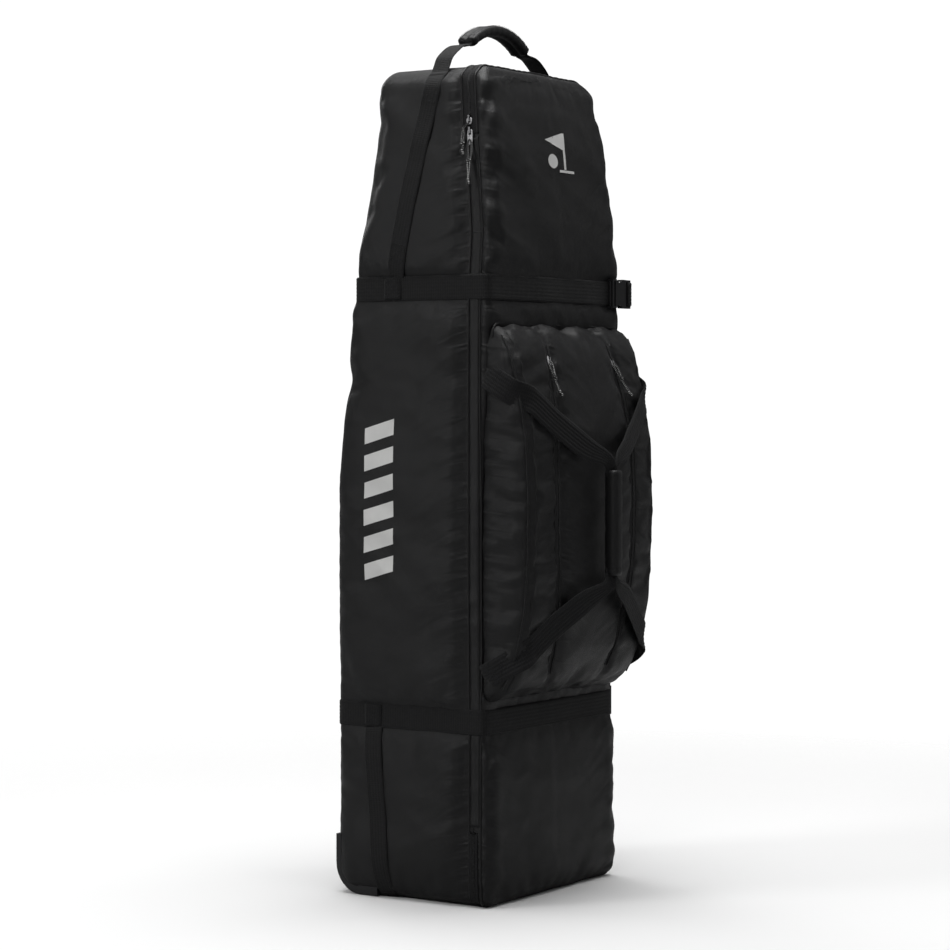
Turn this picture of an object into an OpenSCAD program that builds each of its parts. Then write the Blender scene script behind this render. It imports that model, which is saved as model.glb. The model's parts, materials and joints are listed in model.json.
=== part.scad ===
// Wheeled golf travel case. A soft padded body stands on its base, with two wheels in moulded
// housings at the back. The front panel is a door: a fabric strip hinges it on one side, and a zip
// runs round the other three. It carries a deep pocket, a haul handle and the front runs of two
// compression straps. Millimetres. The front faces -Y, +Z is up, and the origin is on the floor at
// the centre of the base.

/* [Body] */
// Width across the front
body_w = 366; // [356:2:376]
// Depth of the body without its pocket
body_d = 264; // [260:2:268]
// Height of the body without its top handle
body_h = 1250; // [1240:5:1270]
// Width across the top, after the taper
top_w = 306; // [300:2:314]
// Height at which the sides start to taper
shoulder_z = 900; // [890:5:910]
// Thickness of the padded walls
wall = 5; // [4:0.5:6]

/* [Front panel and zip] */
// Height at which the plain hinge strip starts
hinge_z0 = 117; // [100:1:130]
// Height at which the plain hinge strip ends
hinge_z1 = 1143; // [1130:1:1150]
// Width of one zip tape, from the teeth out
tape_w = 9; // [8:0.5:10]
// Thickness of the zip tape
tape_t = 1.6; // [1.2:0.1:2]

/* [Front pocket] */
// Lower edge of the pocket
pocket_z0 = 312; // [305:1:320]
// Upper edge of the pocket
pocket_z1 = 860; // [850:1:864]
// How far the pocket's deepest point stands in front of the body
pocket_depth = 84; // [76:1:90]
// Radius of the pocket's bowed front, seen from the side
pocket_r = 742; // [700:1:800]
// Height of the bow's deepest point
bow_z = 600; // [580:5:620]
// Distance of each pocket zip from the centre line, where it's widest
pocket_zip_x = 107; // [100:1:112]
// Radius of each pocket zip's curve, seen from the front
pocket_zip_r = 1294; // [1200:10:1400]

/* [Straps] */
// Width of the two compression straps
strap_w = 38; // [34:1:40]
// Thickness of the webbing
web_t = 2.2; // [1.8:0.1:2.4]
// Height of the upper strap's centre
upper_strap_z = 917; // [914:1:920]
// Height of the lower strap's centre
lower_strap_z = 274; // [268:1:280]
// Width of the webbing that runs up the sides
side_web_w = 32; // [28:1:34]

/* [Handles] */
// Height of the top handle's crown above the body
handle_rise = 70; // [66:1:74]
// Half the distance between the top handle's feet
handle_foot_x = 138; // [132:1:140]
// Length of the haul handle's grip
haul_grip_l = 160; // [140:1:170]

/* [Wheels] */
// Radius of the wheel over its tyre
wheel_r = 37; // [35:0.5:37.5]
// Width of the tyre
wheel_w = 24; // [20:1:26]
// Radius of the axle bolt
axle_r = 3.97; // [3.95:0.01:3.98]

/* [Hidden] */
$fn = 48;

reach = 320;
hw = body_w / 2;
top_hw = top_w / 2;
y_back = body_d / 2;
gap = 0.2;

// Corner radii of the outlines
r_top_side = 34;
r_bottom_side = 20;
r_back_corner = 46;
r_top_back = 26;
r_top_front = 18;
r_bottom_front = 18;

// Front line of the body from top to bottom, and back line from bottom to top, as [y, z]
front_top_y = -y_back + 18;
front_bottom_y = -y_back - 10;
front_line = [[-y_back + 2, 1120], [-y_back - 15, 960], [-y_back - 15, 870], [-y_back - 2, 620],
              [-y_back - 3, 274], [-y_back - 8, 120]];
back_top_y = y_back - 62;
back_line = [[y_back, 620], [y_back - 12, 750], [y_back - 33, 917], [y_back - 50, 1120]];

// The zip line, where the door parts from the body, as [y, z]. It is upright, then leans back.
part_y = -y_back + 12;
lean_z = 1000;
lean_top_y = part_y + 28;
lean_top_z = 1222;
part_line = [[part_y, -10], [part_y, lean_z], [lean_top_y, lean_top_z],
             [lean_top_y + 8, lean_top_z + 78]];
teeth_w = 1.6;
strip_w = teeth_w + tape_w;
// The door's edge is narrower than the body's, so its tape is too
lid_tape_w = 7;

// Leans of the upper body: of its sides, and of the zip line
side_lean = atan((hw - top_hw) / (body_h - r_top_side - shoulder_z));
zip_lean = atan((lean_top_y - part_y) / (lean_top_z - lean_z));

// Front pocket
pocket_hw = hw - 7;
pocket_t = 3;
pocket_y = -y_back - pocket_depth;
// A pocket zip lies on the bow and is itself curved, so a slider rides a tilted circle
zip_tilt = atan(pocket_r / pocket_zip_r);
zip_ride_r = pocket_r * cos(zip_tilt);

// Wheels
wheel_x = hw - 30;
wheel_y = y_back - 32;
wheel_z = 38;
well_r = 43;
cheek_gap = 36;
cheek_t = 3;
hub_w = 26;
bearing_r = 11;
bearing_w = 7;
bearing_bore = 4;
core_r = 26;

// Buckle, in its own frame: x towards the plug, y across the strap, z out from the case
bk_w = 45;
bk_t = 11;
bk_socket_l = 38;
bk_plate = 2;
bk_rail = 3;
bk_bar_r = 1.9;
bk_base_l = 20;
upper_bk = [146, -y_back - 15 - web_t - 0.6, upper_strap_z];
lower_bk = [hw + 4.6, part_y - 6, lower_strap_z];

// Sliders on the main zip, by height, and the pull's pivot in front of the slider
slider_z_a = 1150;
slider_z_b = 1168;
pull_out = 4.9;

// Handles
handle_y = -34;
handle_pivot_z = body_h + 17;
handle_arc_r = 125;
handle_grip_a = 37;
haul_lift = 34;
haul_y = pocket_y - haul_lift;
haul_mid_z = 566;
// How far the pocket's bow falls back at the haul webbing's corners
pocket_d_corner = 12;
haul_turn = atan((haul_lift + pocket_d_corner) / pocket_hw);

fabric = [0.09, 0.09, 0.1];
webbing = [0.06, 0.06, 0.065];
plastic = [0.14, 0.14, 0.15];

function arc(c, r, a0, a1, n = 8) =
    [for (i = [0 : n]) let (a = a0 + (a1 - a0) * i / n) [c[0] + r * cos(a), c[1] + r * sin(a)]];
function shifted(line, d) = [for (p = line) [p[0] + d, p[1]]];
function reversed(line) = [for (i = [len(line) - 1 : -1 : 0]) line[i]];
function mirrored(line) = [for (p = line) [-p[0], p[1]]];

// Half of the body's outline from the front, as [x, z], set in by t
function half_front(t) = concat(
    arc([hw - r_bottom_side, r_bottom_side], r_bottom_side - t, -90, 0),
    [[hw - t, shoulder_z]],
    arc([top_hw - r_top_side, body_h - r_top_side], r_top_side - t, side_lean, 90));
function front_outline(t) = concat(half_front(t), reversed(mirrored(half_front(t))));

// The body's outline from the side, as [y, z], set in by t
function side_outline(t) = concat(
    arc([y_back - r_back_corner, r_back_corner], r_back_corner - t, -90, 0),
    shifted(back_line, -t),
    arc([back_top_y - r_top_back, body_h - r_top_back], r_top_back - t, 0, 90),
    arc([front_top_y + r_top_front, body_h - r_top_front], r_top_front - t, 90, 180),
    shifted(front_line, t),
    arc([front_bottom_y + r_bottom_front, r_bottom_front], r_bottom_front - t, 180, 270));

// The band between two distances behind the zip line, as [y, z]
function band(a, b) = concat(shifted(part_line, a), reversed(shifted(part_line, b)));

// The side's outer face and the zip line's place at height z on the upper body
function side_x(z) = hw - max(0, z - shoulder_z) * tan(side_lean);
function zip_y(z) = part_y + max(0, z - lean_z) * tan(zip_lean);

module across_x(points) rotate([90, 0, 90]) linear_extrude(height = 2 * reach, center = true) polygon(points);
module across_y(points) rotate([90, 0, 0]) linear_extrude(height = 2 * reach, center = true) polygon(points);
module zone(low, high) translate(low) cube(high - low);
module rod(r, l) rotate([0, 90, 0]) cylinder(r = r, h = l, center = true);

module body_solid(t) {
    intersection() {
        across_y(front_outline(t));
        across_x(side_outline(t));
    }
}

// What of the body lies between two thicknesses of its outline seen from the front
module rim(t0, t1) {
    difference() {
        body_solid(t0);
        across_y(front_outline(t1));
    }
}

// ---- Wheel housings

guard_h = 89;
guard_l = 77;
guard_points = concat(
    [[y_back - guard_l, 0]],
    arc([y_back - r_back_corner, r_back_corner], r_back_corner, -90, 0),
    [[y_back, guard_h], [y_back - 9, guard_h]],
    arc([y_back - 45, 50], 36, 0, -90),
    [[y_back - guard_l, 14]]);
housing_in = 62;

module guard_bar(side, x0, x1) {
    intersection() {
        across_x(guard_points);
        if (side < 0) zone([-x1, -reach, -1], [-x0, reach, reach]);
        else zone([x0, -reach, -1], [x1, reach, reach]);
    }
}

module housing_cut() {
    for (side = [-1, 1]) guard_bar(side, hw - housing_in, hw + 5);
}

module on_axle(side, x, r, l) translate([side * x, wheel_y, wheel_z]) rod(r, l);

module wheel_housing(side) {
    difference() {
        union() {
            guard_bar(side, hw - housing_in, hw + 1.2);
            intersection() {
                union() {
                    on_axle(side, wheel_x, well_r + cheek_t, cheek_gap + 2 * cheek_t);
                    zone([side * wheel_x - cheek_gap / 2 - cheek_t, wheel_y - 20, 6],
                         [side * wheel_x + cheek_gap / 2 + cheek_t, y_back - 5, wheel_z]);
                }
                across_x(side_outline(5));
            }
        }
        on_axle(side, wheel_x, well_r, cheek_gap);
        on_axle(side, wheel_x, bearing_bore + 0.05, 2 * reach / 8);
    }
    // Bosses that carry the axle between the cheeks
    for (end = [-1, 1])
        difference() {
            on_axle(side, wheel_x + end * (cheek_gap + hub_w + 0.6) / 4, 7, (cheek_gap - hub_w - 0.6) / 2);
            on_axle(side, wheel_x, bearing_bore + 0.05, cheek_gap + 4);
        }
}

screw_x = [for (s = [-1, 1]) for (x = [hw - 8.5, hw - housing_in + 6.5]) s * x];
module housing_screws() {
    color("silver")
        for (x = screw_x) {
            translate([x, y_back - 14, 78]) rotate([-90, 0, 0]) {
                cylinder(r = 1.9, h = 12.5);
                translate([0, 0, 12]) cylinder(r = 3.6, h = 1.6);
            }
            translate([x, y_back - guard_l + 8, 0.6]) {
                cylinder(r = 3.6, h = 1.6);
                cylinder(r = 1.9, h = 18);
            }
        }
}
module screw_holes() {
    for (x = screw_x) {
        translate([x, y_back - 14, 78]) rotate([-90, 0, 0]) {
            cylinder(r = 1.9, h = 13);
            translate([0, 0, 12]) cylinder(r = 3.6, h = 6);
        }
        translate([x, y_back - guard_l + 8, -5]) {
            cylinder(r = 3.6, h = 7.2);
            cylinder(r = 1.9, h = 30);
        }
    }
}

module housing(side) {
    color(plastic) difference() {
        wheel_housing(side);
        screw_holes();
    }
}

module kick_plate() {
    color(plastic) zone([-hw + housing_in + 2, y_back + 0.1, 50], [hw - housing_in - 2, y_back + 2.6, 88]);
}

// ---- Wheels

module wheel_core(side) {
    color("dimgray") translate([side * wheel_x, wheel_y, wheel_z]) rotate([0, 90, 0])
        difference() {
            union() {
                cylinder(r = core_r, h = wheel_w - 6, center = true);
                cylinder(r = bearing_r + 3, h = hub_w - 1, center = true);
            }
            cylinder(r = bearing_r - 2.5, h = 2 * hub_w, center = true);
            for (end = [-1, 1])
                translate([0, 0, end * (hub_w - 1 - bearing_w + 0.5) / 2])
                    cylinder(r = bearing_r, h = bearing_w + 0.5, center = true);
            for (a = [0 : 72 : 288])
                rotate([0, 0, a]) translate([(core_r + bearing_r + 3) / 2, 0, 0])
                    cylinder(r = 3.6, h = 2 * hub_w, center = true);
        }
}

module wheel_tyre(side) {
    edge = 6;
    w = wheel_w / 2;
    color([0.2, 0.2, 0.21]) translate([side * wheel_x, wheel_y, wheel_z]) rotate([0, 90, 0])
        rotate_extrude()
            polygon(concat([[core_r, -w + 3], [wheel_r - edge, -w]],
                           arc([wheel_r - edge, -w + edge], edge, -90, 0, 6),
                           arc([wheel_r - edge, w - edge], edge, 0, 90, 6),
                           [[core_r, w - 3]]));
}

module wheel_bearings(side) {
    color("silver")
        for (end = [-1, 1])
            translate([side * wheel_x + end * (hub_w - 1 - bearing_w) / 2, wheel_y, wheel_z])
                difference() {
                    rod(bearing_r, bearing_w);
                    rod(bearing_bore, bearing_w + 1);
                }
}

axle_l = cheek_gap + 2 * cheek_t;
module wheel_axles() {
    color("silver") for (side = [-1, 1]) {
        on_axle(side, wheel_x, axle_r, axle_l + 8);
        on_axle(side, wheel_x + axle_l / 2 + 1.9, 6.5, 3.4);
    }
}
module axle_nuts() {
    color("silver") for (side = [-1, 1])
        difference() {
            translate([side * (wheel_x - axle_l / 2 - 2.8), wheel_y, wheel_z]) rotate([0, 90, 0])
                cylinder(r = 7.4, h = 5, center = true, $fn = 6);
            on_axle(side, wheel_x, axle_r, axle_l + 30);
        }
}

// ---- Body

module side_panel(side) {
    color(fabric) intersection() {
        difference() {
            rim(0, wall);
            housing_cut();
        }
        across_x(band(strip_w, 2 * reach));
        union() {
            zone([side > 0 ? hw - r_bottom_side : -reach, -reach, -1],
                 [side > 0 ? reach : r_bottom_side - hw, reach, 600]);
            zone([side > 0 ? top_hw - r_top_side : -reach, -reach, 600],
                 [side > 0 ? reach : r_top_side - top_hw, reach, 2 * reach + body_h]);
        }
    }
}

module back_panel() {
    color(fabric) difference() {
        intersection() {
            body_solid(0);
            across_y(front_outline(wall));
            zone([-reach, 0, 0], [reach, reach, body_h]);
        }
        across_x(side_outline(wall));
        housing_cut();
    }
}

module end_panel(half_w, z0, z1) {
    color(fabric) intersection() {
        difference() {
            rim(0, wall);
            housing_cut();
        }
        across_x(band(strip_w, 2 * reach));
        zone([-half_w, -reach, z0], [half_w, reach, z1]);
    }
}

module top_panel() end_panel(top_hw - r_top_side, body_h / 2, body_h + 1);
module bottom_panel() end_panel(hw - r_bottom_side, -1, body_h / 2);

module left_hinge_zone() zone([-reach, -reach, hinge_z0], [-top_hw + r_top_side, reach, hinge_z1]);

module hinge_strip() {
    color(fabric) intersection() {
        rim(0, 3);
        across_x(band(gap, strip_w));
        left_hinge_zone();
    }
}

// A ring of the zip round the door, between two distances behind the zip line
module zip_ring(t0, t1, a, b) {
    difference() {
        intersection() {
            rim(t0, t1);
            across_x(band(a, b));
        }
        left_hinge_zone();
    }
}
module zip_tape_body() color(webbing) zip_ring(0, tape_t, teeth_w, strip_w);
module zip_teeth_body() color(plastic) zip_ring(-0.6, tape_t + 0.4, gap, teeth_w);

module back_board()
    color("gray") zone([-150, y_back - wall - 3.2, 100], [150, y_back - wall - 0.2, 600]);
module base_board()
    color("gray") zone([-158, part_y + 18, wall + 0.2], [158, y_back - guard_l - 4, wall + 3.2]);

module hood_foam() {
    color([0.3, 0.3, 0.32]) intersection() {
        difference() {
            body_solid(wall + 0.2);
            body_solid(wall + 10);
        }
        across_x(band(strip_w + 4, 2 * reach));
        zone([-reach, -reach, 950], [reach, reach, body_h]);
    }
}

tie_z = [330, 540];
module inner_tie_straps() {
    color(webbing) for (z = tie_z) for (s = [-1, 1])
        zone([s > 0 ? 17 : -150, y_back - wall - 5.6, z - 12.5],
             [s > 0 ? 150 : -17, y_back - wall - 3.6, z + 12.5]);
}
module inner_tie_buckles() {
    color(plastic) for (z = tie_z)
        difference() {
            zone([-16.5, y_back - wall - 12, z - 17], [16.5, y_back - wall - 3.6, z + 17]);
            for (s = [-1, 1])
                zone([s * 10 - 2, y_back - wall - 14, z - 13], [s * 10 + 2, y_back - wall, z + 13]);
        }
}

// ---- Compression straps and side webbing

module strap_ring(z) {
    intersection() {
        difference() {
            body_solid(-web_t);
            body_solid(0);
        }
        zone([-reach, -reach, z - strap_w / 2], [reach, reach, z + strap_w / 2]);
    }
}

upper_tail_y = part_y + 3;
lower_tail_y = lower_bk[1] + bk_socket_l + bk_base_l + 34;
module upper_strap_body() {
    color(webbing) intersection() {
        strap_ring(upper_strap_z);
        union() {
            zone([-reach, part_y + gap, 0], [0, reach, body_h]);
            zone([0, upper_tail_y, 0], [reach, reach, body_h]);
        }
    }
}
module lower_strap_body() {
    color(webbing) intersection() {
        strap_ring(lower_strap_z);
        union() {
            zone([-reach, part_y + gap, 0], [0, reach, body_h]);
            zone([0, lower_tail_y, 0], [reach, reach, body_h]);
        }
    }
}

// The front runs leave a gap at the hinge, so that the door swings clear of the body's runs
swing_gap = 10;
module upper_strap_front() {
    color(webbing) intersection() {
        strap_ring(upper_strap_z);
        zone([-reach, -reach, 0], [upper_bk[0] + 4, part_y - swing_gap, body_h]);
    }
}
module lower_strap_front() {
    color(webbing) intersection() {
        strap_ring(lower_strap_z);
        zone([-reach, -reach, 0], [reach, part_y - swing_gap, body_h]);
    }
}

// Webbing laid on a side between two heights, from [y, z] to [y, z]
module side_web(side, from, to, t) {
    color(webbing) intersection() {
        difference() {
            across_y(front_outline(-t));
            across_y(front_outline(0));
        }
        across_x([[from[0] - side_web_w / 2, from[1]], [from[0] + side_web_w / 2, from[1]],
                  [to[0] + side_web_w / 2, to[1]], [to[0] - side_web_w / 2, to[1]]]);
        zone([side > 0 ? handle_foot_x - 4 : -reach, -reach, 0],
             [side > 0 ? reach : 4 - handle_foot_x, reach, body_h + 10]);
    }
}

module handle_web(side) {
    side_web(side, [20, upper_strap_z + strap_w / 2], [handle_y, body_h + 5], 2);
    // The foot that stands up to the handle, rounded about the handle's pivot
    color(webbing) difference() {
        translate([side * (handle_foot_x + 1.3), handle_y, 0]) {
            translate([0, 0, handle_pivot_z]) rod(side_web_w / 2, 2);
            zone([-1, -side_web_w / 2, body_h - 8], [1, side_web_w / 2, handle_pivot_z]);
        }
        across_y(front_outline(0));
    }
}

module lower_side_webs() {
    for (side = [-1, 1])
        side_web(side, [44, r_bottom_side], [60, lower_strap_z - strap_w / 2], 2);
}

patch = [26, 30];
patch_spots = [[25, upper_strap_z], [62, lower_strap_z]];
module strap_patches() {
    color(webbing) for (s = patch_spots)
        intersection() {
            difference() {
                across_y(front_outline(-web_t - 1));
                across_y(front_outline(-web_t));
            }
            zone([-reach, s[0] - patch[0] / 2, s[1] - patch[1] / 2],
                 [reach, s[0] + patch[0] / 2, s[1] + patch[1] / 2]);
        }
}

// ---- Door and pocket

lid_t = 5;
module lid_panel() {
    color(fabric) union() {
        // Front face
        intersection() {
            difference() {
                body_solid(0);
                across_x(side_outline(lid_t));
            }
            across_x(band(-reach, -teeth_w - lid_tape_w));
        }
        // The plain run of its edge, beside the hinge strip
        intersection() {
            rim(0, 3);
            across_x(band(-reach, -gap));
            left_hinge_zone();
        }
        // The rest of its edge, up to the zip tape
        difference() {
            intersection() {
                rim(0, 3);
                across_x(band(-reach, -teeth_w - lid_tape_w));
            }
            left_hinge_zone();
        }
    }
}
module zip_tape_lid() color(webbing) zip_ring(0, tape_t, -teeth_w - lid_tape_w, -teeth_w);
module zip_teeth_lid() color(plastic) zip_ring(-0.6, tape_t + 0.4, -teeth_w, -gap);

// The pocket from the side: a bowed front that turns in to the door at both ends
pocket_end = 26;
pocket_axis_y = pocket_y + pocket_r;
function pocket_face_y(z, t = 0) = pocket_axis_y - sqrt(pow(pocket_r - t, 2) - pow(z - bow_z, 2));
function pocket_profile(t) = concat(
    [[0, pocket_z0 + t], [-y_back - 6, pocket_z0 + t]],
    [for (i = [0 : 12])
        let (z = pocket_z0 + pocket_end + (pocket_z1 - pocket_z0 - 2 * pocket_end) * i / 12)
        [pocket_face_y(z, t), z]],
    [[-y_back - 18, pocket_z1 - t], [0, pocket_z1 - t]]);

module pocket_solid(t) {
    intersection() {
        across_x(pocket_profile(t));
        zone([-pocket_hw + t, -reach, 0], [pocket_hw - t, 0, body_h]);
    }
}

// Where the pocket zip on one side crosses height z
function zip_x(side, z) =
    side * (pocket_zip_x - (zip_ride_r - sqrt(pow(zip_ride_r, 2) - pow(z - bow_z, 2))) * sin(zip_tilt));

// Everything behind a stretch of that curve, from offset a to offset b across it
module zip_curve(side, a, b) {
    z0 = pocket_z0 + 30;
    z1 = pocket_z1 - pocket_end;
    n = 16;
    heights = [for (i = [0 : n]) z0 + (z1 - z0) * i / n];
    across_y(concat([for (z = heights) [zip_x(side, z) + a, z]],
                    reversed([for (z = heights) [zip_x(side, z) + b, z]])));
}

module front_pocket() {
    color(fabric) difference() {
        pocket_solid(0);
        difference() {
            pocket_solid(pocket_t);
            // The wall between the two pockets
            zone([-1.5, -reach, 0], [1.5, 0, body_h]);
        }
        across_x(concat([[reach, -1]], side_outline(0), [[reach, 0]]));
        body_solid(0);
        for (s = [-1, 1]) intersection() {
            zip_curve(s, -tape_w, tape_w);
            zone([-reach, -reach, 0], [reach, -y_back - 20, body_h]);
        }
    }
}

// A strip of a pocket zip, from offset a to b across it, between two distances off the bow
module on_bow(side, a, b, out0, out1) {
    intersection() {
        translate([0, pocket_axis_y, bow_z])
            difference() {
                rod(pocket_r + out0, 2 * reach);
                rod(pocket_r + out1, 2 * reach + 2);
            }
        zip_curve(side, a, b);
        zone([-reach, -reach, 0], [reach, 0, body_h]);
    }
}
module pocket_zip_tapes() {
    color(webbing) for (s = [-1, 1]) for (e = [-1, 1])
        on_bow(s, e > 0 ? 1.6 : -tape_w, e > 0 ? tape_w : -1.6, -0.4, -1.8);
}
module pocket_zip_teeth() {
    color(plastic) for (s = [-1, 1]) for (e = [-1, 1])
        on_bow(s, e > 0 ? 0.1 : -1.6, e > 0 ? 1.6 : -0.1, 0.2, -1.8);
}

// ---- Buckles, drawn in their own frame with the strap along x

module place_upper() translate(upper_bk) rotate([90, 0, 0]) children();
module place_lower() translate(lower_bk) rotate([90, 0, 90]) children();

// The socket is open towards the case, so the plug also leaves it when the door swings
module buckle_socket() {
    color(plastic) {
        half = bk_w / 2;
        difference() {
            zone([0, -half, bk_t - bk_plate], [bk_socket_l, half, bk_t]);
            // Waist at the release windows, hollow mouth, and the webbing's slot
            for (s = [-1, 1]) translate([20, s * (half + 4), 0]) cylinder(r = 9, h = 2 * bk_t);
            translate([bk_socket_l + 26, 0, 0]) cylinder(r = 29, h = 2 * bk_t);
            zone([4.2, -half + bk_rail, 0], [9, half - bk_rail, 2 * bk_t]);
        }
        for (s = [-1, 1]) for (run = [[0, 11], [30, bk_socket_l]])
            zone([run[0], s > 0 ? half - bk_rail : -half, 1],
                 [run[1], s > 0 ? half : bk_rail - half, bk_t - bk_plate]);
        translate([2.1, 0, 5]) rotate([90, 0, 0]) cylinder(r = bk_bar_r, h = bk_w - bk_rail, center = true);
        zone([9, -half + bk_rail, 3], [11, half - bk_rail, bk_t - bk_plate]);
    }
}

module buckle_plug() {
    half = bk_w / 2;
    x0 = bk_socket_l + 0.4;
    color(plastic) {
        difference() {
            zone([x0, -half, 1.5], [x0 + bk_base_l, half, bk_t - bk_plate - 1]);
            zone([x0 + 7, -half + bk_rail, 0], [x0 + 11, half - bk_rail, bk_t]);
            zone([x0 + 13.5, -half + bk_rail, 0], [x0 + bk_base_l - 3, half - bk_rail, bk_t]);
        }
        // Centre tongue
        zone([14, -4.5, 2.5], [x0 + 0.1, 4.5, bk_t - bk_plate - 1.5]);
    }
}

// One sprung prong, with a thumb pad that shows in the socket's window
module buckle_prong(s) {
    x0 = bk_socket_l + 0.2;
    color(plastic) {
        zone([14, s > 0 ? 13 : -17, 2.2], [x0, s > 0 ? 17 : -13, bk_t - bk_plate - 1.2]);
        translate([21, s * 13, 2.2]) cylinder(r = 6.2, h = bk_t - bk_plate - 3.4);
    }
}

// Tail of the upper strap: over the plug's bar, then round the corner to the side
module upper_strap_tail() {
    x0 = upper_bk[0] + bk_socket_l + 0.4 + 11.4;
    y0 = upper_bk[1] - bk_t + bk_plate + 1 - web_t - 0.2;
    color(webbing) intersection() {
        linear_extrude(height = 2 * body_h)
            polygon(concat(
                [[x0, y0]],
                arc([x0 + 7.2, y0 + 7.8], 7.8, -90, 0),
                [[hw + web_t + 3, upper_tail_y - 1], [hw + 3, upper_tail_y - 1]],
                arc([x0 + 7.2, y0 + 7.8], 7.8 - web_t, 0, -90),
                [[x0, y0 + web_t]]));
        zone([0, -reach, upper_strap_z - strap_w / 2], [reach, reach, upper_strap_z + strap_w / 2]);
    }
}

// Tail of the lower strap: over the plug's bar, then down to the side
module lower_strap_tail() {
    y0 = lower_bk[1] + bk_socket_l + 11.8;
    x0 = lower_bk[0] + bk_t - bk_plate - 0.8;
    x1 = hw + web_t + 0.4;
    color(webbing) intersection() {
        linear_extrude(height = body_h)
            polygon([[x0, y0], [x0 + web_t, y0], [x0 + web_t, y0 + 9], [x1 + web_t, lower_tail_y - 1],
                     [x1, lower_tail_y - 1], [x0, y0 + 8]]);
        zone([0, -reach, lower_strap_z - strap_w / 2], [reach, reach, lower_strap_z + strap_w / 2]);
    }
}

// ---- Sliders and pulls

// Zip slider in its own frame: z along the zip, x out of the surface
module slider_body() {
    color("dimgray") {
        zone([0.8, -5.5, -7], [3.2, 5.5, 7]);
        difference() {
            zone([3.2, -1.6, -5], [7.6, 1.6, 5]);
            zone([3.2, -2, -3], [6.2, 2, 3]);
        }
    }
}

// Pull: a metal tab whose crossbar hangs in the slider's bridge, a loop of cord and a knotted
// tail. The crossbar is at x = pull_out.
module zip_pull(loop_l, tail_l) {
    color("silver") translate([pull_out - 0.7, 0, 0]) difference() {
        zone([0, -4.4, -22], [1.4, 4.4, 0.8]);
        zone([-1, -2.6, -7], [3, 2.6, -0.8]);
        zone([-1, -2.4, -19], [3, 2.4, -14]);
    }
    color(webbing) translate([pull_out, 0, -12]) {
        rotate([90, 0, 90]) linear_extrude(height = 2.6, center = true) difference() {
            polygon(loop_outline(loop_l, 4.6));
            polygon(loop_outline(loop_l, 2.2));
        }
        translate([0, 0, -loop_l]) rotate_extrude() polygon(tail_profile(tail_l));
    }
}
// The upper slider's pull: a ring on the bridge, and a cord that hangs behind the lower slider
module zip_pull_beside(loop_l, tail_l) {
    color("silver") translate([pull_out - 0.7, 0, 0]) difference() {
        zone([0, -4.4, -9.5], [1.4, 4.4, 0.8]);
        zone([-1, -2.6, -7], [3, 2.6, -0.8]);
    }
    color(webbing) translate([pull_out, 0, 0]) {
        rotate([90, 0, 90]) linear_extrude(height = 2.6, center = true) difference() {
            union() {
                polygon([[-2, -7.4], [-4.2, -7.4], [-12.5, -15], [-9.5, -17]]);
                translate([-11, -12]) polygon(loop_outline(loop_l, 3.6));
            }
            translate([-11, -12]) polygon(loop_outline(loop_l, 1.6));
        }
        translate([0, -11, -12 - loop_l]) rotate_extrude() polygon(tail_profile(tail_l));
    }
}
// A long loop from z = 0 down to -l, with rounded ends of radius r
function loop_outline(l, r) = concat(arc([0, -5], r, 0, 180), arc([0, 5 - l], r, 180, 360));
// Half of the tail's outline, as [radius, z]: a knot, the cord and an end knot
function tail_profile(l) = [[0, 4], [3.6, 2], [4.2, -2], [2.6, -6], [1.7, -7], [1.7, 6 - l], [3.4, 4 - l],
                            [3.6, 0 - l], [1.6, -3 - l], [0, -3 - l]];

module on_main_zip(z) {
    translate([-side_x(z), zip_y(z), z]) rotate([-zip_lean * cos(side_lean), side_lean, 0])
        rotate([0, 0, 180]) children();
}

// A pocket slider's place: its angle up the bow, and its lean across it
pocket_slider_z = pocket_z1 - 40;
bow_angle = asin((pocket_slider_z - bow_z) / pocket_r);
slider_lean = asin(sin(zip_tilt) * (pocket_slider_z - bow_z) / zip_ride_r);
module on_pocket_zip(side) {
    translate([zip_x(side, pocket_slider_z), pocket_axis_y, bow_z]) rotate([-bow_angle, 0, 0])
        translate([0, -pocket_r, 0]) rotate([0, 0, -90]) rotate([side * slider_lean, 0, 0]) children();
}

// ---- Handles

// The top handle, from the front: legs that lean in to an arched grip
handle_arc_z = body_h + handle_rise - handle_arc_r;
module top_handle_web() {
    web_a = handle_grip_a + 4;
    color(webbing) translate([0, handle_y, 0]) {
        intersection() {
            across_y(concat(
                [[handle_foot_x, handle_pivot_z + 14]],
                arc([0, handle_arc_z], handle_arc_r + 1, 90 - web_a, 90 + web_a, 24),
                [[-handle_foot_x, handle_pivot_z + 14], [-handle_foot_x + 2.4, handle_pivot_z + 12]],
                arc([0, handle_arc_z], handle_arc_r - 1.4, 90 + web_a, 90 - web_a, 24),
                [[handle_foot_x - 2.4, handle_pivot_z + 12]]));
            zone([-reach, 1.2 - side_web_w / 2, 0], [reach, side_web_w / 2 - 1.2, 2 * body_h]);
        }
        for (s = [-1, 1]) translate([s * (handle_foot_x - 1.2), 0, handle_pivot_z]) {
            rod(side_web_w / 2 - 1, 2);
            zone([-1, -side_web_w / 2 + 1, 0], [1, side_web_w / 2 - 1, 14]);
        }
    }
}

module top_handle_grip() {
    w = 8;
    color(webbing) translate([0, handle_y, handle_arc_z]) rotate([90, 0, 0])
        rotate([0, 0, 90 - handle_grip_a]) rotate_extrude(angle = 2 * handle_grip_a)
            difference() {
                union() {
                    for (s = [-1, 1]) translate([handle_arc_r, s * w]) circle(r = 9);
                    translate([handle_arc_r - 9, -w]) square([18, 2 * w]);
                }
                translate([handle_arc_r - 1.6, -side_web_w / 2 + 1]) square([2.8, side_web_w - 2]);
            }
}

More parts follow.
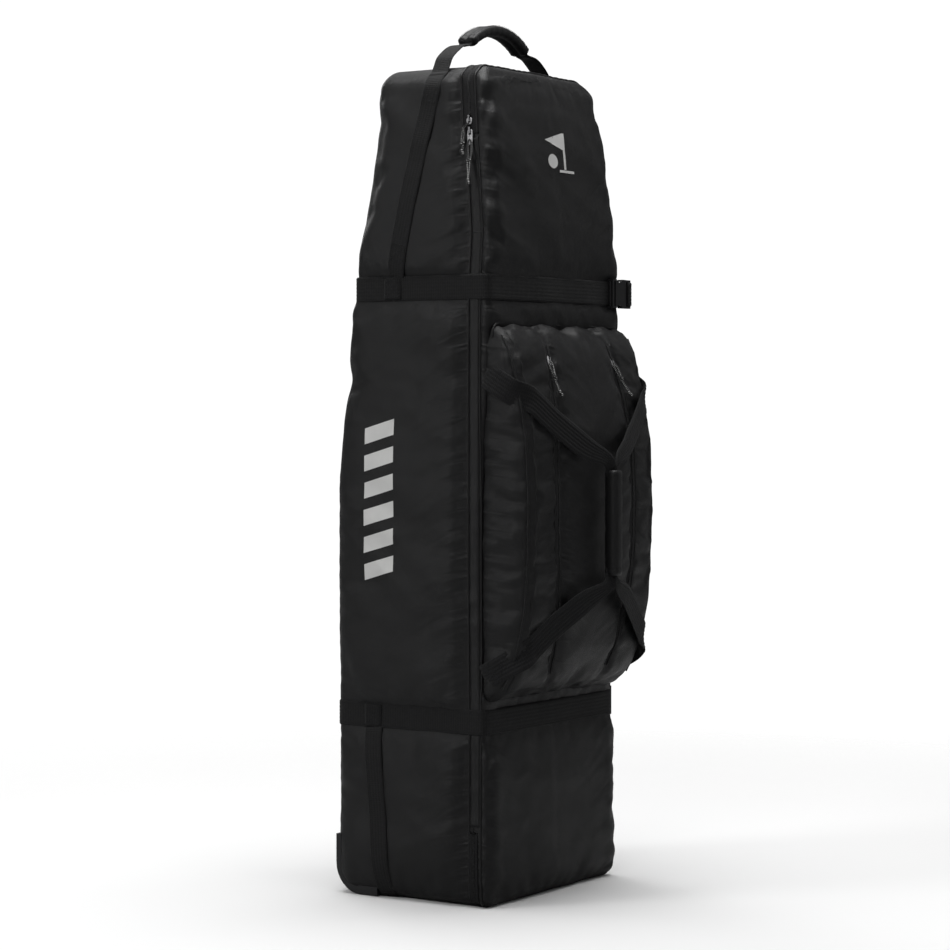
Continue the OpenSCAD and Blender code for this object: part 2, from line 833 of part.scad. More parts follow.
// Haul handle: a grip with a webbing run to each corner of the pocket
haul_corner_z = [haul_mid_z - 202, haul_mid_z + 200];
module haul_run(side, up) {
    x0 = pocket_hw - 2;
    x1 = 4;
    z0 = haul_corner_z[up > 0 ? 1 : 0];
    z1 = haul_mid_z + up * (haul_grip_l / 2 + 6);
    l = x0 / cos(haul_turn);
    translate([side * x0, haul_y + x0 * tan(haul_turn), 0]) mirror([side > 0 ? 1 : 0, 0, 0])
        rotate([0, 0, -haul_turn]) rotate([90, 0, 0]) linear_extrude(height = web_t, center = true)
            polygon([[0, z0 - 21], [0, z0 + 21], [l - x1, z1 + 9], [l - x1, z1 - 9]]);
}
module haul_handle() {
    color(webbing) {
        for (side = [-1, 1]) for (up = [-1, 1]) haul_run(side, up);
        translate([0, haul_y, haul_mid_z]) {
            cylinder(r = 13, h = haul_grip_l, center = true);
            cylinder(r = 6, h = haul_grip_l + 34, center = true);
        }
    }
}

// Tabs that carry the haul webbing from the door's edge along the pocket's sides
haul_tab_y = pocket_y + pocket_d_corner - 1;
module haul_anchors() {
    color(webbing) for (side = [-1, 1]) for (z = haul_corner_z)
        zone([side > 0 ? pocket_hw : -pocket_hw - web_t, haul_tab_y, z - 18],
             [side > 0 ? pocket_hw + web_t : -pocket_hw, -y_back - 15, z + 18]);
}

side_panel(-1);  // left_side_panel
side_panel(1);  // right_side_panel
back_panel();
top_panel();
bottom_panel();
hinge_strip();
zip_tape_body();
zip_teeth_body();
back_board();
base_board();
hood_foam();
inner_tie_straps();
inner_tie_buckles();
kick_plate();
housing(-1);  // wheel_housing_left
housing(1);  // wheel_housing_right
housing_screws();
wheel_axles();
axle_nuts();
upper_strap_body();
lower_strap_body();
for (s = [-1, 1]) handle_web(s);  // handle_webs
lower_side_webs();
strap_patches();
lid_panel();
zip_tape_lid();
zip_teeth_lid();
front_pocket();
pocket_zip_tapes();
pocket_zip_teeth();
upper_strap_front();
lower_strap_front();
place_upper() buckle_socket();  // upper_buckle_socket
place_lower() buckle_socket();  // lower_buckle_socket
haul_anchors();
wheel_core(-1);  // wheel_core_left
wheel_tyre(-1);  // wheel_tyre_left
wheel_bearings(-1);  // wheel_bearings_left
wheel_core(1);  // wheel_core_right
wheel_tyre(1);  // wheel_tyre_right
wheel_bearings(1);  // wheel_bearings_right
place_upper() buckle_plug();  // upper_buckle_plug
place_upper() buckle_prong(1);  // upper_prong_top
place_upper() buckle_prong(-1);  // upper_prong_bottom
upper_strap_tail();
place_lower() buckle_plug();  // lower_buckle_plug
place_lower() buckle_prong(1);  // lower_prong_top
place_lower() buckle_prong(-1);  // lower_prong_bottom
lower_strap_tail();
on_main_zip(slider_z_a) slider_body();  // zip_slider_a
on_main_zip(slider_z_a) zip_pull(34, 40);  // zip_pull_a
on_main_zip(slider_z_b) slider_body();  // zip_slider_b
on_main_zip(slider_z_b) zip_pull_beside(24, 20);  // zip_pull_b
on_pocket_zip(-1) slider_body();  // pocket_slider_left
on_pocket_zip(1) slider_body();  // pocket_slider_right
on_pocket_zip(-1) zip_pull(30, 34);  // pocket_pull_left
on_pocket_zip(1) zip_pull(30, 34);  // pocket_pull_right
top_handle_web();
top_handle_grip();
haul_handle();
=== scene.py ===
"""Looks of the golf travel case: stuffed fabric, webbing, zips, cords and moulded plastic on the CAD frame.
Sizes are in millimetres until a mesh is made; places come from the frame's boxes and joints."""
import json
import math

import bmesh
import bpy
import numpy as np
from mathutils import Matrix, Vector, noise
from mathutils.bvhtree import BVHTree


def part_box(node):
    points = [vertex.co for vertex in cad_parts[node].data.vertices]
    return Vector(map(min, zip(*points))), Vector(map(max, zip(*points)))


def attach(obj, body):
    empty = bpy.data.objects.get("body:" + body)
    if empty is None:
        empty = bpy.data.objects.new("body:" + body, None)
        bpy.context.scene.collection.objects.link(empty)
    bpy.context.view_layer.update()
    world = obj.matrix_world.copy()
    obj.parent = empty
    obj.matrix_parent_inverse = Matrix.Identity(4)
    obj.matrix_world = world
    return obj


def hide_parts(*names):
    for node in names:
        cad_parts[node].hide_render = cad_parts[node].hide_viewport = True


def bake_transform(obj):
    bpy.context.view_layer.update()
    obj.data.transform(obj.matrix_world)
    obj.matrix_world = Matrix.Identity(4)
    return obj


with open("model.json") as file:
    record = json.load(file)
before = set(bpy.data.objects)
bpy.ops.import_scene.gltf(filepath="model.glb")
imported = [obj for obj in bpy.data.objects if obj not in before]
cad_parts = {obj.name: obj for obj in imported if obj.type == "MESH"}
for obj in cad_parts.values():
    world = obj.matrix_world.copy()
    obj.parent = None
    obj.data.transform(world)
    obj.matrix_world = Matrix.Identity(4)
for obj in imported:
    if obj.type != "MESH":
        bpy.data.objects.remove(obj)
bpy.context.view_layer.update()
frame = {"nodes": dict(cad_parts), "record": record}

MM = 0.001
JOINTS = {joint["name"]: joint for joint in frame["record"]["behaviour"]["joints"]}


def box_mm(node):
    low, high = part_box(node)
    return np.array(low) / MM, np.array(high) / MM


# ---- Sizes from the frame

HALF_W = box_mm("lid_panel")[1][0]
HEIGHT = box_mm("top_panel")[1][2]
Y_BACK = box_mm("back_panel")[1][1]
FRONT_Y = -Y_BACK
HINGE_Y = JOINTS["lid_hinge"]["pos_m"][1] / MM
STRIP_LOW, STRIP_HIGH = (end[2] for end in box_mm("hinge_strip"))
UPPER_STRAP = [end[2] for end in box_mm("upper_strap_front")]
LOWER_STRAP = [end[2] for end in box_mm("lower_strap_front")]
UPPER_Z, LOWER_Z = sum(UPPER_STRAP) / 2, sum(LOWER_STRAP) / 2
STRAP_W = UPPER_STRAP[1] - UPPER_STRAP[0]
POCKET_LOW, POCKET_HIGH = box_mm("front_pocket")
POCKET_HALF = POCKET_HIGH[0]
_, PIVOT_Y, PIVOT_Z = np.array(JOINTS["top_handle_tilt"]["pos_m"]) / MM
GRIP_TOP = box_mm("top_handle_grip")[1][2]
HAUL_LOW, HAUL_HIGH = box_mm("haul_handle")
GUARD_LOW, GUARD_HIGH = box_mm("wheel_housing_right")
PLATE_LOW, PLATE_HIGH = box_mm("kick_plate")
WEB_T = 2.0
SIDE_WEB_W = 31.0

# The body's profiles as (height, distance) pairs, before its edges are rounded
WIDTH_LINE = [(0, -5), (50, -1), (274, -2), (500, 1), (750, 1), (917, 0), (1120, -18), (1250, -32)]
FRONT_LINE = [(0, -7), (120, -6), (274, -3), (600, -2), (700, -5), (790, -13), (960, -14), (1120, -2),
              (1250, 17)]
BACK_LINE = [(0, 0), (620, 0), (750, -12), (917, -33), (1120, -50), (1250, -62)]
PART_LINE = [(0, 0), (1000, 0), (1222, 28), (1250, 31)]
POCKET_LINE = [(304, 70), (312, 60), (322, 50), (340, 37), (380, 20), (440, 7), (500, 2), (600, 0), (690, 4),
               (750, 14), (800, 27), (820, 33), (840, 42), (852, 54), (862, 68)]
TOP_CORNER, BOTTOM_CORNER, POCKET_CORNER = 34, 20, 13


def smooth_line(pairs, base, reach=7):
    """A smooth function of height through (height, value) pairs."""
    heights = np.arange(-100.0, 1400.0, 5.0)
    values = np.interp(heights, *zip(*pairs))
    kernel = np.hanning(2 * reach + 1)
    values = base + np.convolve(np.pad(values, reach, mode="edge"), kernel / kernel.sum(), mode="valid")
    return lambda z: np.interp(z, heights, values)


half_width = smooth_line(WIDTH_LINE, HALF_W)
front_y = smooth_line(FRONT_LINE, FRONT_Y)
back_y = smooth_line(BACK_LINE, Y_BACK)
part_y = smooth_line(PART_LINE, HINGE_Y, reach=3)
pocket_y = smooth_line(POCKET_LINE, POCKET_LOW[1], reach=2)

# ---- Small geometry tools


def unit(v):
    v = np.asarray(v, float)
    return v / (np.linalg.norm(v, axis=-1, keepdims=True) + 1e-12)


def smoothstep(low, high, x):
    t = np.clip((np.asarray(x, float) - low) / (high - low), 0, 1)
    return t * t * (3 - 2 * t)


def bell(x, width):
    return np.exp(-(x / width) ** 2)


def run_lengths(points):
    """How far along a polyline each of its points is."""
    return np.concatenate([[0], np.cumsum(np.linalg.norm(np.diff(points, axis=0), axis=1))])


def resample(points, count):
    """A polyline as count evenly spaced points."""
    points = np.asarray(points, float)
    lengths = run_lengths(points)
    wanted = np.linspace(0, lengths[-1], count)
    return np.stack([np.interp(wanted, lengths, points[:, k]) for k in range(points.shape[1])], axis=1)


def spline(points, step):
    """A smooth curve through points, every step millimetres."""
    p = np.asarray(points, float)
    p = np.vstack([2 * p[0] - p[1], p, 2 * p[-1] - p[-2]])
    out = []
    for i in range(1, len(p) - 2):
        n = max(2, int(np.linalg.norm(p[i + 1, :3] - p[i, :3]) / step))
        for t in np.arange(n) / n:
            out.append(0.5 * (2 * p[i] + (p[i + 1] - p[i - 1]) * t
                              + (2 * p[i - 1] - 5 * p[i] + 4 * p[i + 1] - p[i + 2]) * t ** 2
                              + (3 * p[i] - p[i - 1] - 3 * p[i + 1] + p[i + 2]) * t ** 3))
    out.append(p[-2])
    return np.array(out)


def ease(values, reach):
    """A running mean that keeps the ends."""
    kernel = np.hanning(2 * reach + 3)[1:-1]
    return np.convolve(np.pad(values, reach, mode="edge"), kernel / kernel.sum(), mode="valid")


def eased(path, reach, *axes):
    for k in axes:
        path[:, k] = ease(path[:, k], reach)
    return path


def tangents(path):
    return unit(np.gradient(np.asarray(path, float), axis=0))


def level_normals(path):
    """Outward normals of a level path that runs counter-clockwise seen from above."""
    along = tangents(path)
    return unit(np.stack([along[:, 1], -along[:, 0], np.zeros(len(path))], axis=1))


def in_xz(flat):
    """Points of a front view as directions in space."""
    return np.stack([flat[:, 0], np.zeros(len(flat)), flat[:, 1]], axis=1)


def make_mesh(name, verts, faces, materials, uvs=None):
    mesh = bpy.data.meshes.new(name)
    mesh.from_pydata((np.asarray(verts, float) * MM).tolist(), [], [list(f) for f in faces])
    for material in materials:
        mesh.materials.append(material)
    mesh.polygons.foreach_set("use_smooth", [True] * len(mesh.polygons))
    mesh.update()
    obj = bpy.data.objects.new(name, mesh)
    bpy.context.scene.collection.objects.link(obj)
    if uvs is not None:
        lay_uvs(obj, uvs)
    return obj


def lay_uvs(obj, uvs):
    """Gives each corner its vertex's UV, in millimetres."""
    layer = obj.data.uv_layers.new(name="lay")
    index = np.empty(len(obj.data.loops), int)
    obj.data.loops.foreach_get("vertex_index", index)
    layer.data.foreach_set("uv", np.asarray(uvs, float)[index].ravel())


def points_mm(obj):
    points = np.empty(len(obj.data.vertices) * 3)
    obj.data.vertices.foreach_get("co", points)
    return points.reshape(-1, 3) / MM


def place_mm(obj, points):
    obj.data.vertices.foreach_set("co", (points * MM).ravel())
    obj.data.update()


def modifier(obj, kind, **settings):
    mod = obj.modifiers.new(kind.lower(), kind)
    for key, value in settings.items():
        setattr(mod, key, value)
    return mod


def bake(obj):
    """Turns a piece's modifiers into plain mesh."""
    graph = bpy.context.evaluated_depsgraph_get()
    mesh = bpy.data.meshes.new_from_object(obj.evaluated_get(graph))
    obj.modifiers.clear()
    obj.data = mesh
    return obj


def surface(obj):
    return BVHTree.FromObject(obj, bpy.context.evaluated_depsgraph_get())


def drape(tree, point, direction, lift=0.0, reach=90.0):
    """The surface under point, looking against direction, and lifted off it."""
    start = Vector(np.asarray(point, float) * MM) + Vector(direction) * reach * MM
    hit, _, _, _ = tree.ray_cast(start, -Vector(direction))
    if hit is None:
        return np.asarray(point, float)
    return np.array(hit) / MM + np.asarray(direction, float) * lift


def piece(name, parts, material, body, slot, *nodes):
    """One piece from a list of parts. body is None for a piece that goes on no body, and nodes are the CAD
    nodes it stands for.
    """
    verts, faces, uvs, offset = [], [], [], 0
    for v, f, uv in parts:
        verts.append(np.asarray(v, float))
        uvs.append(np.asarray(uv, float))
        faces += [[i + offset for i in face] for face in f]
        offset += len(v)
    obj = make_mesh(name, np.vstack(verts), faces, [material], np.vstack(uvs))
    if body:
        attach(obj, body)
    if nodes:
        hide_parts(*nodes)
    return obj


# Each of the next three makes one part of a piece: its vertices, faces and UVs


def loft(rings, caps=True):
    """Closed rings of equal length, skinned. Each is an array of points."""
    count, ring = len(rings), len(rings[0])
    faces = []
    for i in range(count - 1):
        for j in range(ring):
            k = (j + 1) % ring
            faces.append([i * ring + j, i * ring + k, (i + 1) * ring + k, (i + 1) * ring + j])
    if caps:
        faces.append(list(range(ring))[::-1])
        faces.append([(count - 1) * ring + j for j in range(ring)])
    lengths = run_lengths(np.array([np.mean(r, 0) for r in rings]))
    return np.vstack(rings), faces, [(length, j) for length in lengths for j in range(ring)]


def webbing(path, normals, width, thick=WEB_T, ribs=0, rib_depth=0.35):
    """A flat strap that lies along path. Its width may vary along the path, and its ribs run lengthwise."""
    path = np.asarray(path, float)
    normals = unit(np.broadcast_to(normals, path.shape))
    along = tangents(path)
    side = unit(np.cross(along, normals))
    normals = unit(np.cross(side, along))
    width = np.broadcast_to(width, len(path))
    spots = np.linspace(-0.5, 0.5, max(10, 4 * ribs) + 1)
    top = thick * np.clip((0.5 - np.abs(spots)) / 0.04, 0.25, 1)
    if ribs:
        top = top - rib_depth * (0.5 - 0.5 * np.cos(2 * math.pi * ribs * (spots + 0.5)))
    rings, uvs = [], []
    for point, length, wide, out, up in zip(path, run_lengths(path), width, side, normals):
        inner = point + np.outer(spots * wide, out)
        rings.append(np.vstack([inner + np.outer(top, up), inner[::-1]]))
        flat = [(length, s * wide) for s in spots]
        uvs += flat + flat[::-1]
    return *loft(rings)[:2], uvs


def tube(path, radius, sides=8, closed=False):
    """A round cord along path. Radius may vary along it."""
    path = np.asarray(path, float)
    along = unit(np.roll(path, -1, 0) - np.roll(path, 1, 0)) if closed else tangents(path)
    radius = np.broadcast_to(radius, len(path))
    guide = np.array([0.31, 0.12, 0.94]) if abs(along[0][2]) < 0.8 else np.array([1.0, 0.2, 0.1])
    angles = np.arange(sides) * 2 * math.pi / sides
    rings, uvs = [], []
    for point, way, r, length in zip(path, along, radius, run_lengths(path)):
        guide = unit(guide - way * guide.dot(way))
        other = np.cross(way, guide)
        rings.append(point + r * (np.outer(np.cos(angles), guide) + np.outer(np.sin(angles), other)))
        uvs += [(length, k) for k in range(sides)]
    if closed:
        rings.append(rings[0])
        uvs += uvs[:sides]
    return *loft(rings, caps=not closed)[:2], uvs


def stitches(path, normals, pitch=4.2, length=2.9):
    """A row of sewn stitches along path, as small domed bars. It is a piece's whole list of parts."""
    width, rise = 0.75, 0.35
    path = np.asarray(path, float)
    count = max(2, int(run_lengths(path)[-1] / pitch))
    both = resample(np.hstack([path, np.broadcast_to(normals, path.shape)]), count * 2 + 1)
    points, lifts = both[:, :3], unit(both[:, 3:])
    parts = []
    for before, centre, after, up in zip(points[::2], points[1::2], points[2::2], lifts[1::2]):
        along = unit(after - before)
        side = np.cross(along, up)
        rings = []
        for t, w, h in ((-0.5, 0.35, 0.0), (-0.3, 1.0, 0.8), (0.3, 1.0, 0.8), (0.5, 0.35, 0.0)):
            mid = centre + along * t * length
            half = side * w * width / 2
            rings.append(np.array([mid - half, mid + up * rise * h, mid + half, mid - up * 0.3]))
        parts.append(loft(rings))
    return parts


def strap_edges(path, normals, width, lift):
    """Two rows of stitches along a strap."""
    side = unit(np.cross(tangents(path), normals)) * (width / 2 - 2.6)
    return [part for s in (-1, 1) for part in stitches(path + side * s + normals * lift, normals)]


def box_stitch(centre, right, up, normal, width, height):
    """A sewn box with a cross in it."""
    centre, right, up = (np.asarray(v, float) for v in (centre, right, up))
    corners = [centre + right * sx * width / 2 + up * sy * height / 2
               for sx, sy in ((-1, -1), (1, -1), (1, 1), (-1, 1))]
    parts = []
    for a, b in ((0, 1), (1, 2), (2, 3), (3, 0), (0, 2), (1, 3)):
        parts += stitches(resample([corners[a], corners[b]], 8), normal, 3.6, 2.6)
    return parts

# ---- Materials


class Nodes:
    """A short way to build a material's node tree."""

    def __init__(self, name, color, roughness, **more):
        self.material = bpy.data.materials.new(name)
        self.material.use_nodes = True
        self.tree = self.material.node_tree
        self.shader = self.tree.nodes["Principled BSDF"]
        self.shader.inputs["Base Color"].default_value = (*color, 1)
        self.shader.inputs["Roughness"].default_value = roughness
        for key, value in more.items():
            self.shader.inputs[key.replace("_", " ")].default_value = value

    def add(self, kind, inputs, **settings):
        node = self.tree.nodes.new(kind)
        for key, value in settings.items():
            setattr(node, key, value)
        for key, value in inputs.items():
            if isinstance(value, bpy.types.NodeSocket):
                self.tree.links.new(value, node.inputs[key])
            else:
                node.inputs[key].default_value = value
        return node.outputs[0]

    def math(self, operation, a, b=0.0, c=0.0):
        return self.add("ShaderNodeMath", {0: a, 1: b, 2: c}, operation=operation)

    def place(self):
        return self.tree.nodes.new("ShaderNodeTexCoord").outputs["Object"]

    def uv(self):
        return self.tree.nodes.new("ShaderNodeTexCoord").outputs["UV"]

    def camera_ray(self):
        return self.tree.nodes.new("ShaderNodeLightPath").outputs["Is Camera Ray"]

    def split(self, vector):
        node = self.tree.nodes.new("ShaderNodeSeparateXYZ")
        self.tree.links.new(vector, node.inputs[0])
        return node.outputs

    def noise(self, scale, detail=3.0):
        inputs = {"Vector": self.place(), "Scale": scale, "Detail": detail, "Roughness": 0.5}
        return self.add("ShaderNodeTexNoise", inputs)

    def ridges(self, vector, scale, detail, distortion):
        inputs = {"Vector": vector, "Scale": scale, "Detail": detail, "Roughness": 0.45,
                  "Distortion": distortion}
        return self.add("ShaderNodeTexNoise", inputs, noise_type="RIDGED_MULTIFRACTAL", normalize=True)

    def crinkle(self, scale, stretch):
        """Sharp little folds, as in a coated cloth."""
        vector = self.add("ShaderNodeVectorMath", {0: self.place(), 1: stretch}, operation="MULTIPLY")
        return self.ridges(vector, scale, 3.0, 0.5)

    def pucker(self, pitch, reach, lean):
        """Folds that start at a seam and die away from it. U is the way from the seam, V along it, in mm."""
        away, along, _ = self.split(self.uv())
        shifted = self.math("ADD", along, self.math("MULTIPLY", away, lean))
        vector = self.add("ShaderNodeCombineXYZ", {0: self.math("DIVIDE", shifted, pitch),
                                                   1: self.math("DIVIDE", away, pitch * 4.5)})
        fade = self.math("POWER", math.exp(-1), self.math("DIVIDE", away, reach))
        return self.math("MULTIPLY", self.ridges(vector, 1.0, 1.6, 0.35), fade)

    def weave(self, pitch_mm, vector=None, scale=1.0):
        """Crossed threads as a height from -1 to 1. The vector is in metres, or times scale."""
        x, y, z = self.split(vector or self.place())
        level, upright = (x, y) if vector else (self.math("ADD", x, y), z)
        k = 2 * math.pi / (pitch_mm * MM) * scale
        warp = self.math("SINE", self.math("MULTIPLY", level, k))
        return self.math("MULTIPLY", warp, self.math("SINE", self.math("MULTIPLY", upright, k)))

    def shade(self, factor, dark, light):
        """Base colour from dark to light as factor goes 0 to 1."""
        mix = self.add("ShaderNodeMix", {0: factor, 6: (*dark, 1), 7: (*light, 1)}, data_type="RGBA").node
        self.tree.links.new(mix.outputs[2], self.shader.inputs["Base Color"])

    def roughen(self, factor, low, high):
        value = self.add("ShaderNodeMapRange", {0: factor, 3: low, 4: high})
        self.tree.links.new(value, self.shader.inputs["Roughness"])

    def bump(self, *layers):
        """Layers are (height, distance in mm)."""
        normal = None
        for height, distance in layers:
            inputs = {"Height": height, "Strength": 1.0, "Distance": distance * MM}
            if normal is not None:
                inputs["Normal"] = normal
            normal = self.add("ShaderNodeBump", inputs)
        self.tree.links.new(normal, self.shader.inputs["Normal"])
        return self.material


def body_fabric(name, puckers=()):
    """Coated nylon. Each of puckers is (pitch, reach, lean, depth) in mm, for folds that run off a seam."""
    color, light = (0.0026, 0.0026, 0.003), (0.0056, 0.0056, 0.0062)
    m = Nodes(name, color, 0.42, Sheen_Weight=0.04, Sheen_Roughness=0.35, Specular_IOR_Level=0.34)
    m.shade(m.noise(9.0, 5.0), color, light)
    m.roughen(m.noise(30.0, 4.0), 0.36, 0.5)
    folds = [(m.pucker(pitch, reach, lean), depth) for pitch, reach, lean, depth in puckers]
    return m.bump((m.weave(1.5), 0.09), (m.noise(420.0, 2.0), 0.06), (m.crinkle(16.0, (1, 0.4, 1.3)), 2.4),
                  (m.crinkle(6.0, (1, 0.5, 1.2)), 4.5), *folds)


def web_fabric(name, color):
    m = Nodes(name, color, 0.7, Sheen_Weight=0.05, Sheen_Roughness=0.5, Specular_IOR_Level=0.22)
    length = m.split(m.uv())[0]
    # Colour: lines across the strap at its ribs' pitch are painted light and shade of the ribs, times noise
    # for random tone
    picks = m.math("MULTIPLY_ADD", m.math("SINE", m.math("MULTIPLY", length, 2 * math.pi / 3.2)), 0.5, 0.5)
    tone_and_rib_shade = m.math("MULTIPLY", m.noise(160.0, 4.0), m.math("ADD", picks, 0.5))
    m.shade(tone_and_rib_shade, color, [c * 2.0 for c in color])
    return m.bump((picks, 0.25), (m.weave(2.1, m.uv(), MM), 0.16), (m.noise(700.0, 2.0), 0.08))


def moulded(name, color, rough):
    m = Nodes(name, color, rough, Specular_IOR_Level=0.45)
    m.shade(m.noise(25.0, 4.0), color, [c * 1.35 for c in color])
    m.roughen(m.noise(60.0, 4.0), rough - 0.06, rough + 0.08)
    return m.bump((m.noise(1500.0, 2.0), 0.03), (m.noise(60.0, 2.0), 0.06))


def metal(name, color, rough, metallic=1.0):
    m = Nodes(name, color, rough, Metallic=metallic)
    m.roughen(m.noise(90.0, 4.0), rough - 0.08, rough + 0.12)
    return m.bump((m.noise(900.0, 2.0), 0.02))


def cord():
    m = Nodes("flecked_cord", (0.02, 0.02, 0.02), 0.7, Sheen_Weight=0.2)
    length, around, _ = m.split(m.uv())
    turn = m.math("MULTIPLY", around, math.pi / 4)
    run = m.math("MULTIPLY", length, 1.15)
    spirals = m.math("MULTIPLY", m.math("SINE", m.math("ADD", run, turn)),
                     m.math("SINE", m.math("SUBTRACT", run, turn)))
    m.shade(m.math("GREATER_THAN", spirals, 0.62), (0.006, 0.006, 0.0065), (0.5, 0.5, 0.49))
    return m.bump((spirals, 0.12))


def zip_coil():
    m = Nodes("zip_coil", (0.006, 0.006, 0.007), 0.55, Specular_IOR_Level=0.25)
    tooth = m.math("SINE", m.math("MULTIPLY", m.split(m.uv())[0], math.pi))
    # Painted light and shade: the teeth are lighter and the gaps between them darker
    m.shade(m.math("GREATER_THAN", tooth, -0.2), (0.003, 0.003, 0.003), (0.011, 0.011, 0.012))
    return m.bump((tooth, 0.5))


def padding(name, color):
    m = Nodes(name, color, 0.85, Sheen_Weight=0.3)
    m.shade(m.noise(60.0, 4.0), color, [c * 1.4 for c in color])
    return m.bump((m.weave(3.0), 0.25), (m.noise(300.0, 2.0), 0.2))


def floor_paint():
    """Pale near the case, and fading into the white backdrop."""
    m = Nodes("floor_paint", (0.9, 0.9, 0.9), 0.7, Specular_IOR_Level=0.1)
    # Painted shade: the floor is darker, 0.4, to every ray but the camera's, so less of its light bounces
    # onto the case's lower side
    m.shade(m.camera_ray(), (0.4, 0.4, 0.4), (0.9, 0.9, 0.9))
    m.roughen(m.noise(3.0), 0.62, 0.75)
    distance = m.add("ShaderNodeVectorMath", {0: m.place()}, operation="LENGTH").node.outputs[1]
    fade = m.add("ShaderNodeMapRange", {0: distance, 1: 0.7, 2: 2.6}, interpolation_type="SMOOTHSTEP")
    clear = m.add("ShaderNodeBsdfTransparent", {})
    both = m.add("ShaderNodeMixShader", {0: m.math("MULTIPLY", fade, m.camera_ray()), 1: m.shader.outputs[0],
                                         2: clear})
    m.tree.links.new(both, m.tree.nodes["Material Output"].inputs[0])
    return m.material


FABRIC = body_fabric("body_fabric")
SEWN_FABRIC = body_fabric("seamed_fabric", [(23.0, 42.0, 0.45, 4.0), (9.0, 18.0, 0.25, 2.6)])
LINING = padding("lining", (0.05, 0.052, 0.056))
WEB = web_fabric("webbing", (0.0058, 0.0058, 0.0061))
WEB_RIBBED = web_fabric("ribbed_webbing", (0.005, 0.005, 0.0054))
TAPE = web_fabric("zip_tape", (0.005, 0.005, 0.0054))
COIL = zip_coil()
THREAD = web_fabric("thread", (0.011, 0.011, 0.012))
PLASTIC = moulded("moulded_plastic", (0.0095, 0.0095, 0.0105), 0.42)
DARK_METAL = metal("slider_metal", (0.06, 0.06, 0.062), 0.34)
STEEL = metal("steel", (0.55, 0.55, 0.56), 0.32)
PULL_TAB = metal("pull_tab", (0.5, 0.5, 0.51), 0.45, 0.25)
CORD = cord()
RUBBER = moulded("tyre_rubber", (0.03, 0.03, 0.031), 0.72)
BOARD = moulded("board", (0.09, 0.09, 0.09), 0.7)
FOAM = padding("foam", (0.12, 0.12, 0.125))
PRINT = moulded("print", (0.62, 0.62, 0.61), 0.55)

NODE_MATERIALS = {"moulded_plastic": PLASTIC, "board": BOARD, "foam": FOAM, "steel": STEEL, "tyre": RUBBER,
                  "slider_metal": DARK_METAL, "webbing": WEB, "zip_tape": TAPE, "zip_coil": COIL,
                  "body_fabric": FABRIC, "pull_cord": CORD}
for entry in frame["record"]["subparts"]:
    node = frame["nodes"][entry["node"]]
    for slot in node.material_slots:
        slot.material = NODE_MATERIALS[entry["material_slot"]]
    if entry["material_slot"] in ("moulded_plastic", "slider_metal"):
        modifier(node, "BEVEL", width=0.6 * MM, segments=2, limit_method="ANGLE", harden_normals=False)

# ---- Soft forms: rings that run from a face at the front to the back


def outline_loop(width, low, high, low_corner, high_corner, rows, columns):
    """A rounded form from the front as a closed loop of points and outward normals, counted so that it
    borders a grid of rows by columns. width gives half its width at a height."""
    quarter = np.linspace(0, math.pi / 2, 13)
    low_z, high_z = low + low_corner, high - high_corner
    foot, head = float(width(low_z)) - low_corner, float(width(high_z)) - high_corner
    half = [(0, low)]
    half += [(foot + low_corner * math.sin(a), low_z - low_corner * math.cos(a)) for a in quarter]
    half += [(float(width(z)), z) for z in np.arange(low_z + 8, high_z - 4, 8.0)]
    half += [(head + high_corner * math.cos(a), high_z + high_corner * math.sin(a)) for a in quarter]
    half = np.array(half + [(0, high)])
    mirror = half * (-1, 1)
    first, last = 7, len(half) - 8  # the corners' middles
    runs = ((mirror[first:last + 1], rows), (np.vstack([mirror[last:], half[last:-1][::-1]]), columns),
            (half[first:last + 1][::-1], rows),
            (np.vstack([half[:first + 1][::-1], mirror[1:first + 1]]), columns))
    loop = np.vstack([resample(run, count + 1)[:-1] for run, count in runs])
    along = unit(np.roll(loop, -1, 0) - np.roll(loop, 1, 0))
    return loop, np.stack([-along[:, 1], along[:, 0]], axis=1)


def fill_grid(loop, rows, columns):
    """The inside of a closed loop as a (rows + 1) x (columns + 1) grid of points."""
    left = loop[:rows + 1]
    top = loop[rows:rows + columns + 1]
    right = loop[rows + columns:2 * rows + columns + 1][::-1]
    bottom = np.vstack([loop[2 * rows + columns:], loop[:1]])[::-1]
    v = np.linspace(0, 1, rows + 1)[:, None, None]
    u = np.linspace(0, 1, columns + 1)[None, :, None]
    grid = (1 - u) * left[:, None] + u * right[:, None] + (1 - v) * bottom[None] + v * top[None]
    grid -= (1 - u) * (1 - v) * left[0] + u * (1 - v) * right[0] + (1 - u) * v * left[-1] + u * v * right[-1]
    return grid


def grid_index(rows, columns, ring_start, inner_start):
    """Vertex numbers of that grid, whose border is a ring that is there already."""
    index = np.zeros((rows + 1, columns + 1), int)
    index[1:-1, 1:-1] = inner_start + np.arange((rows - 1) * (columns - 1)).reshape(rows - 1, columns - 1)
    index[:, 0] = ring_start + np.arange(rows + 1)
    index[rows, :] = ring_start + rows + np.arange(columns + 1)
    index[::-1, columns] = ring_start + rows + columns + np.arange(rows + 1)
    index[0, ::-1] = ring_start + (2 * rows + columns + np.arange(columns + 1)) % (2 * (rows + columns))
    return index


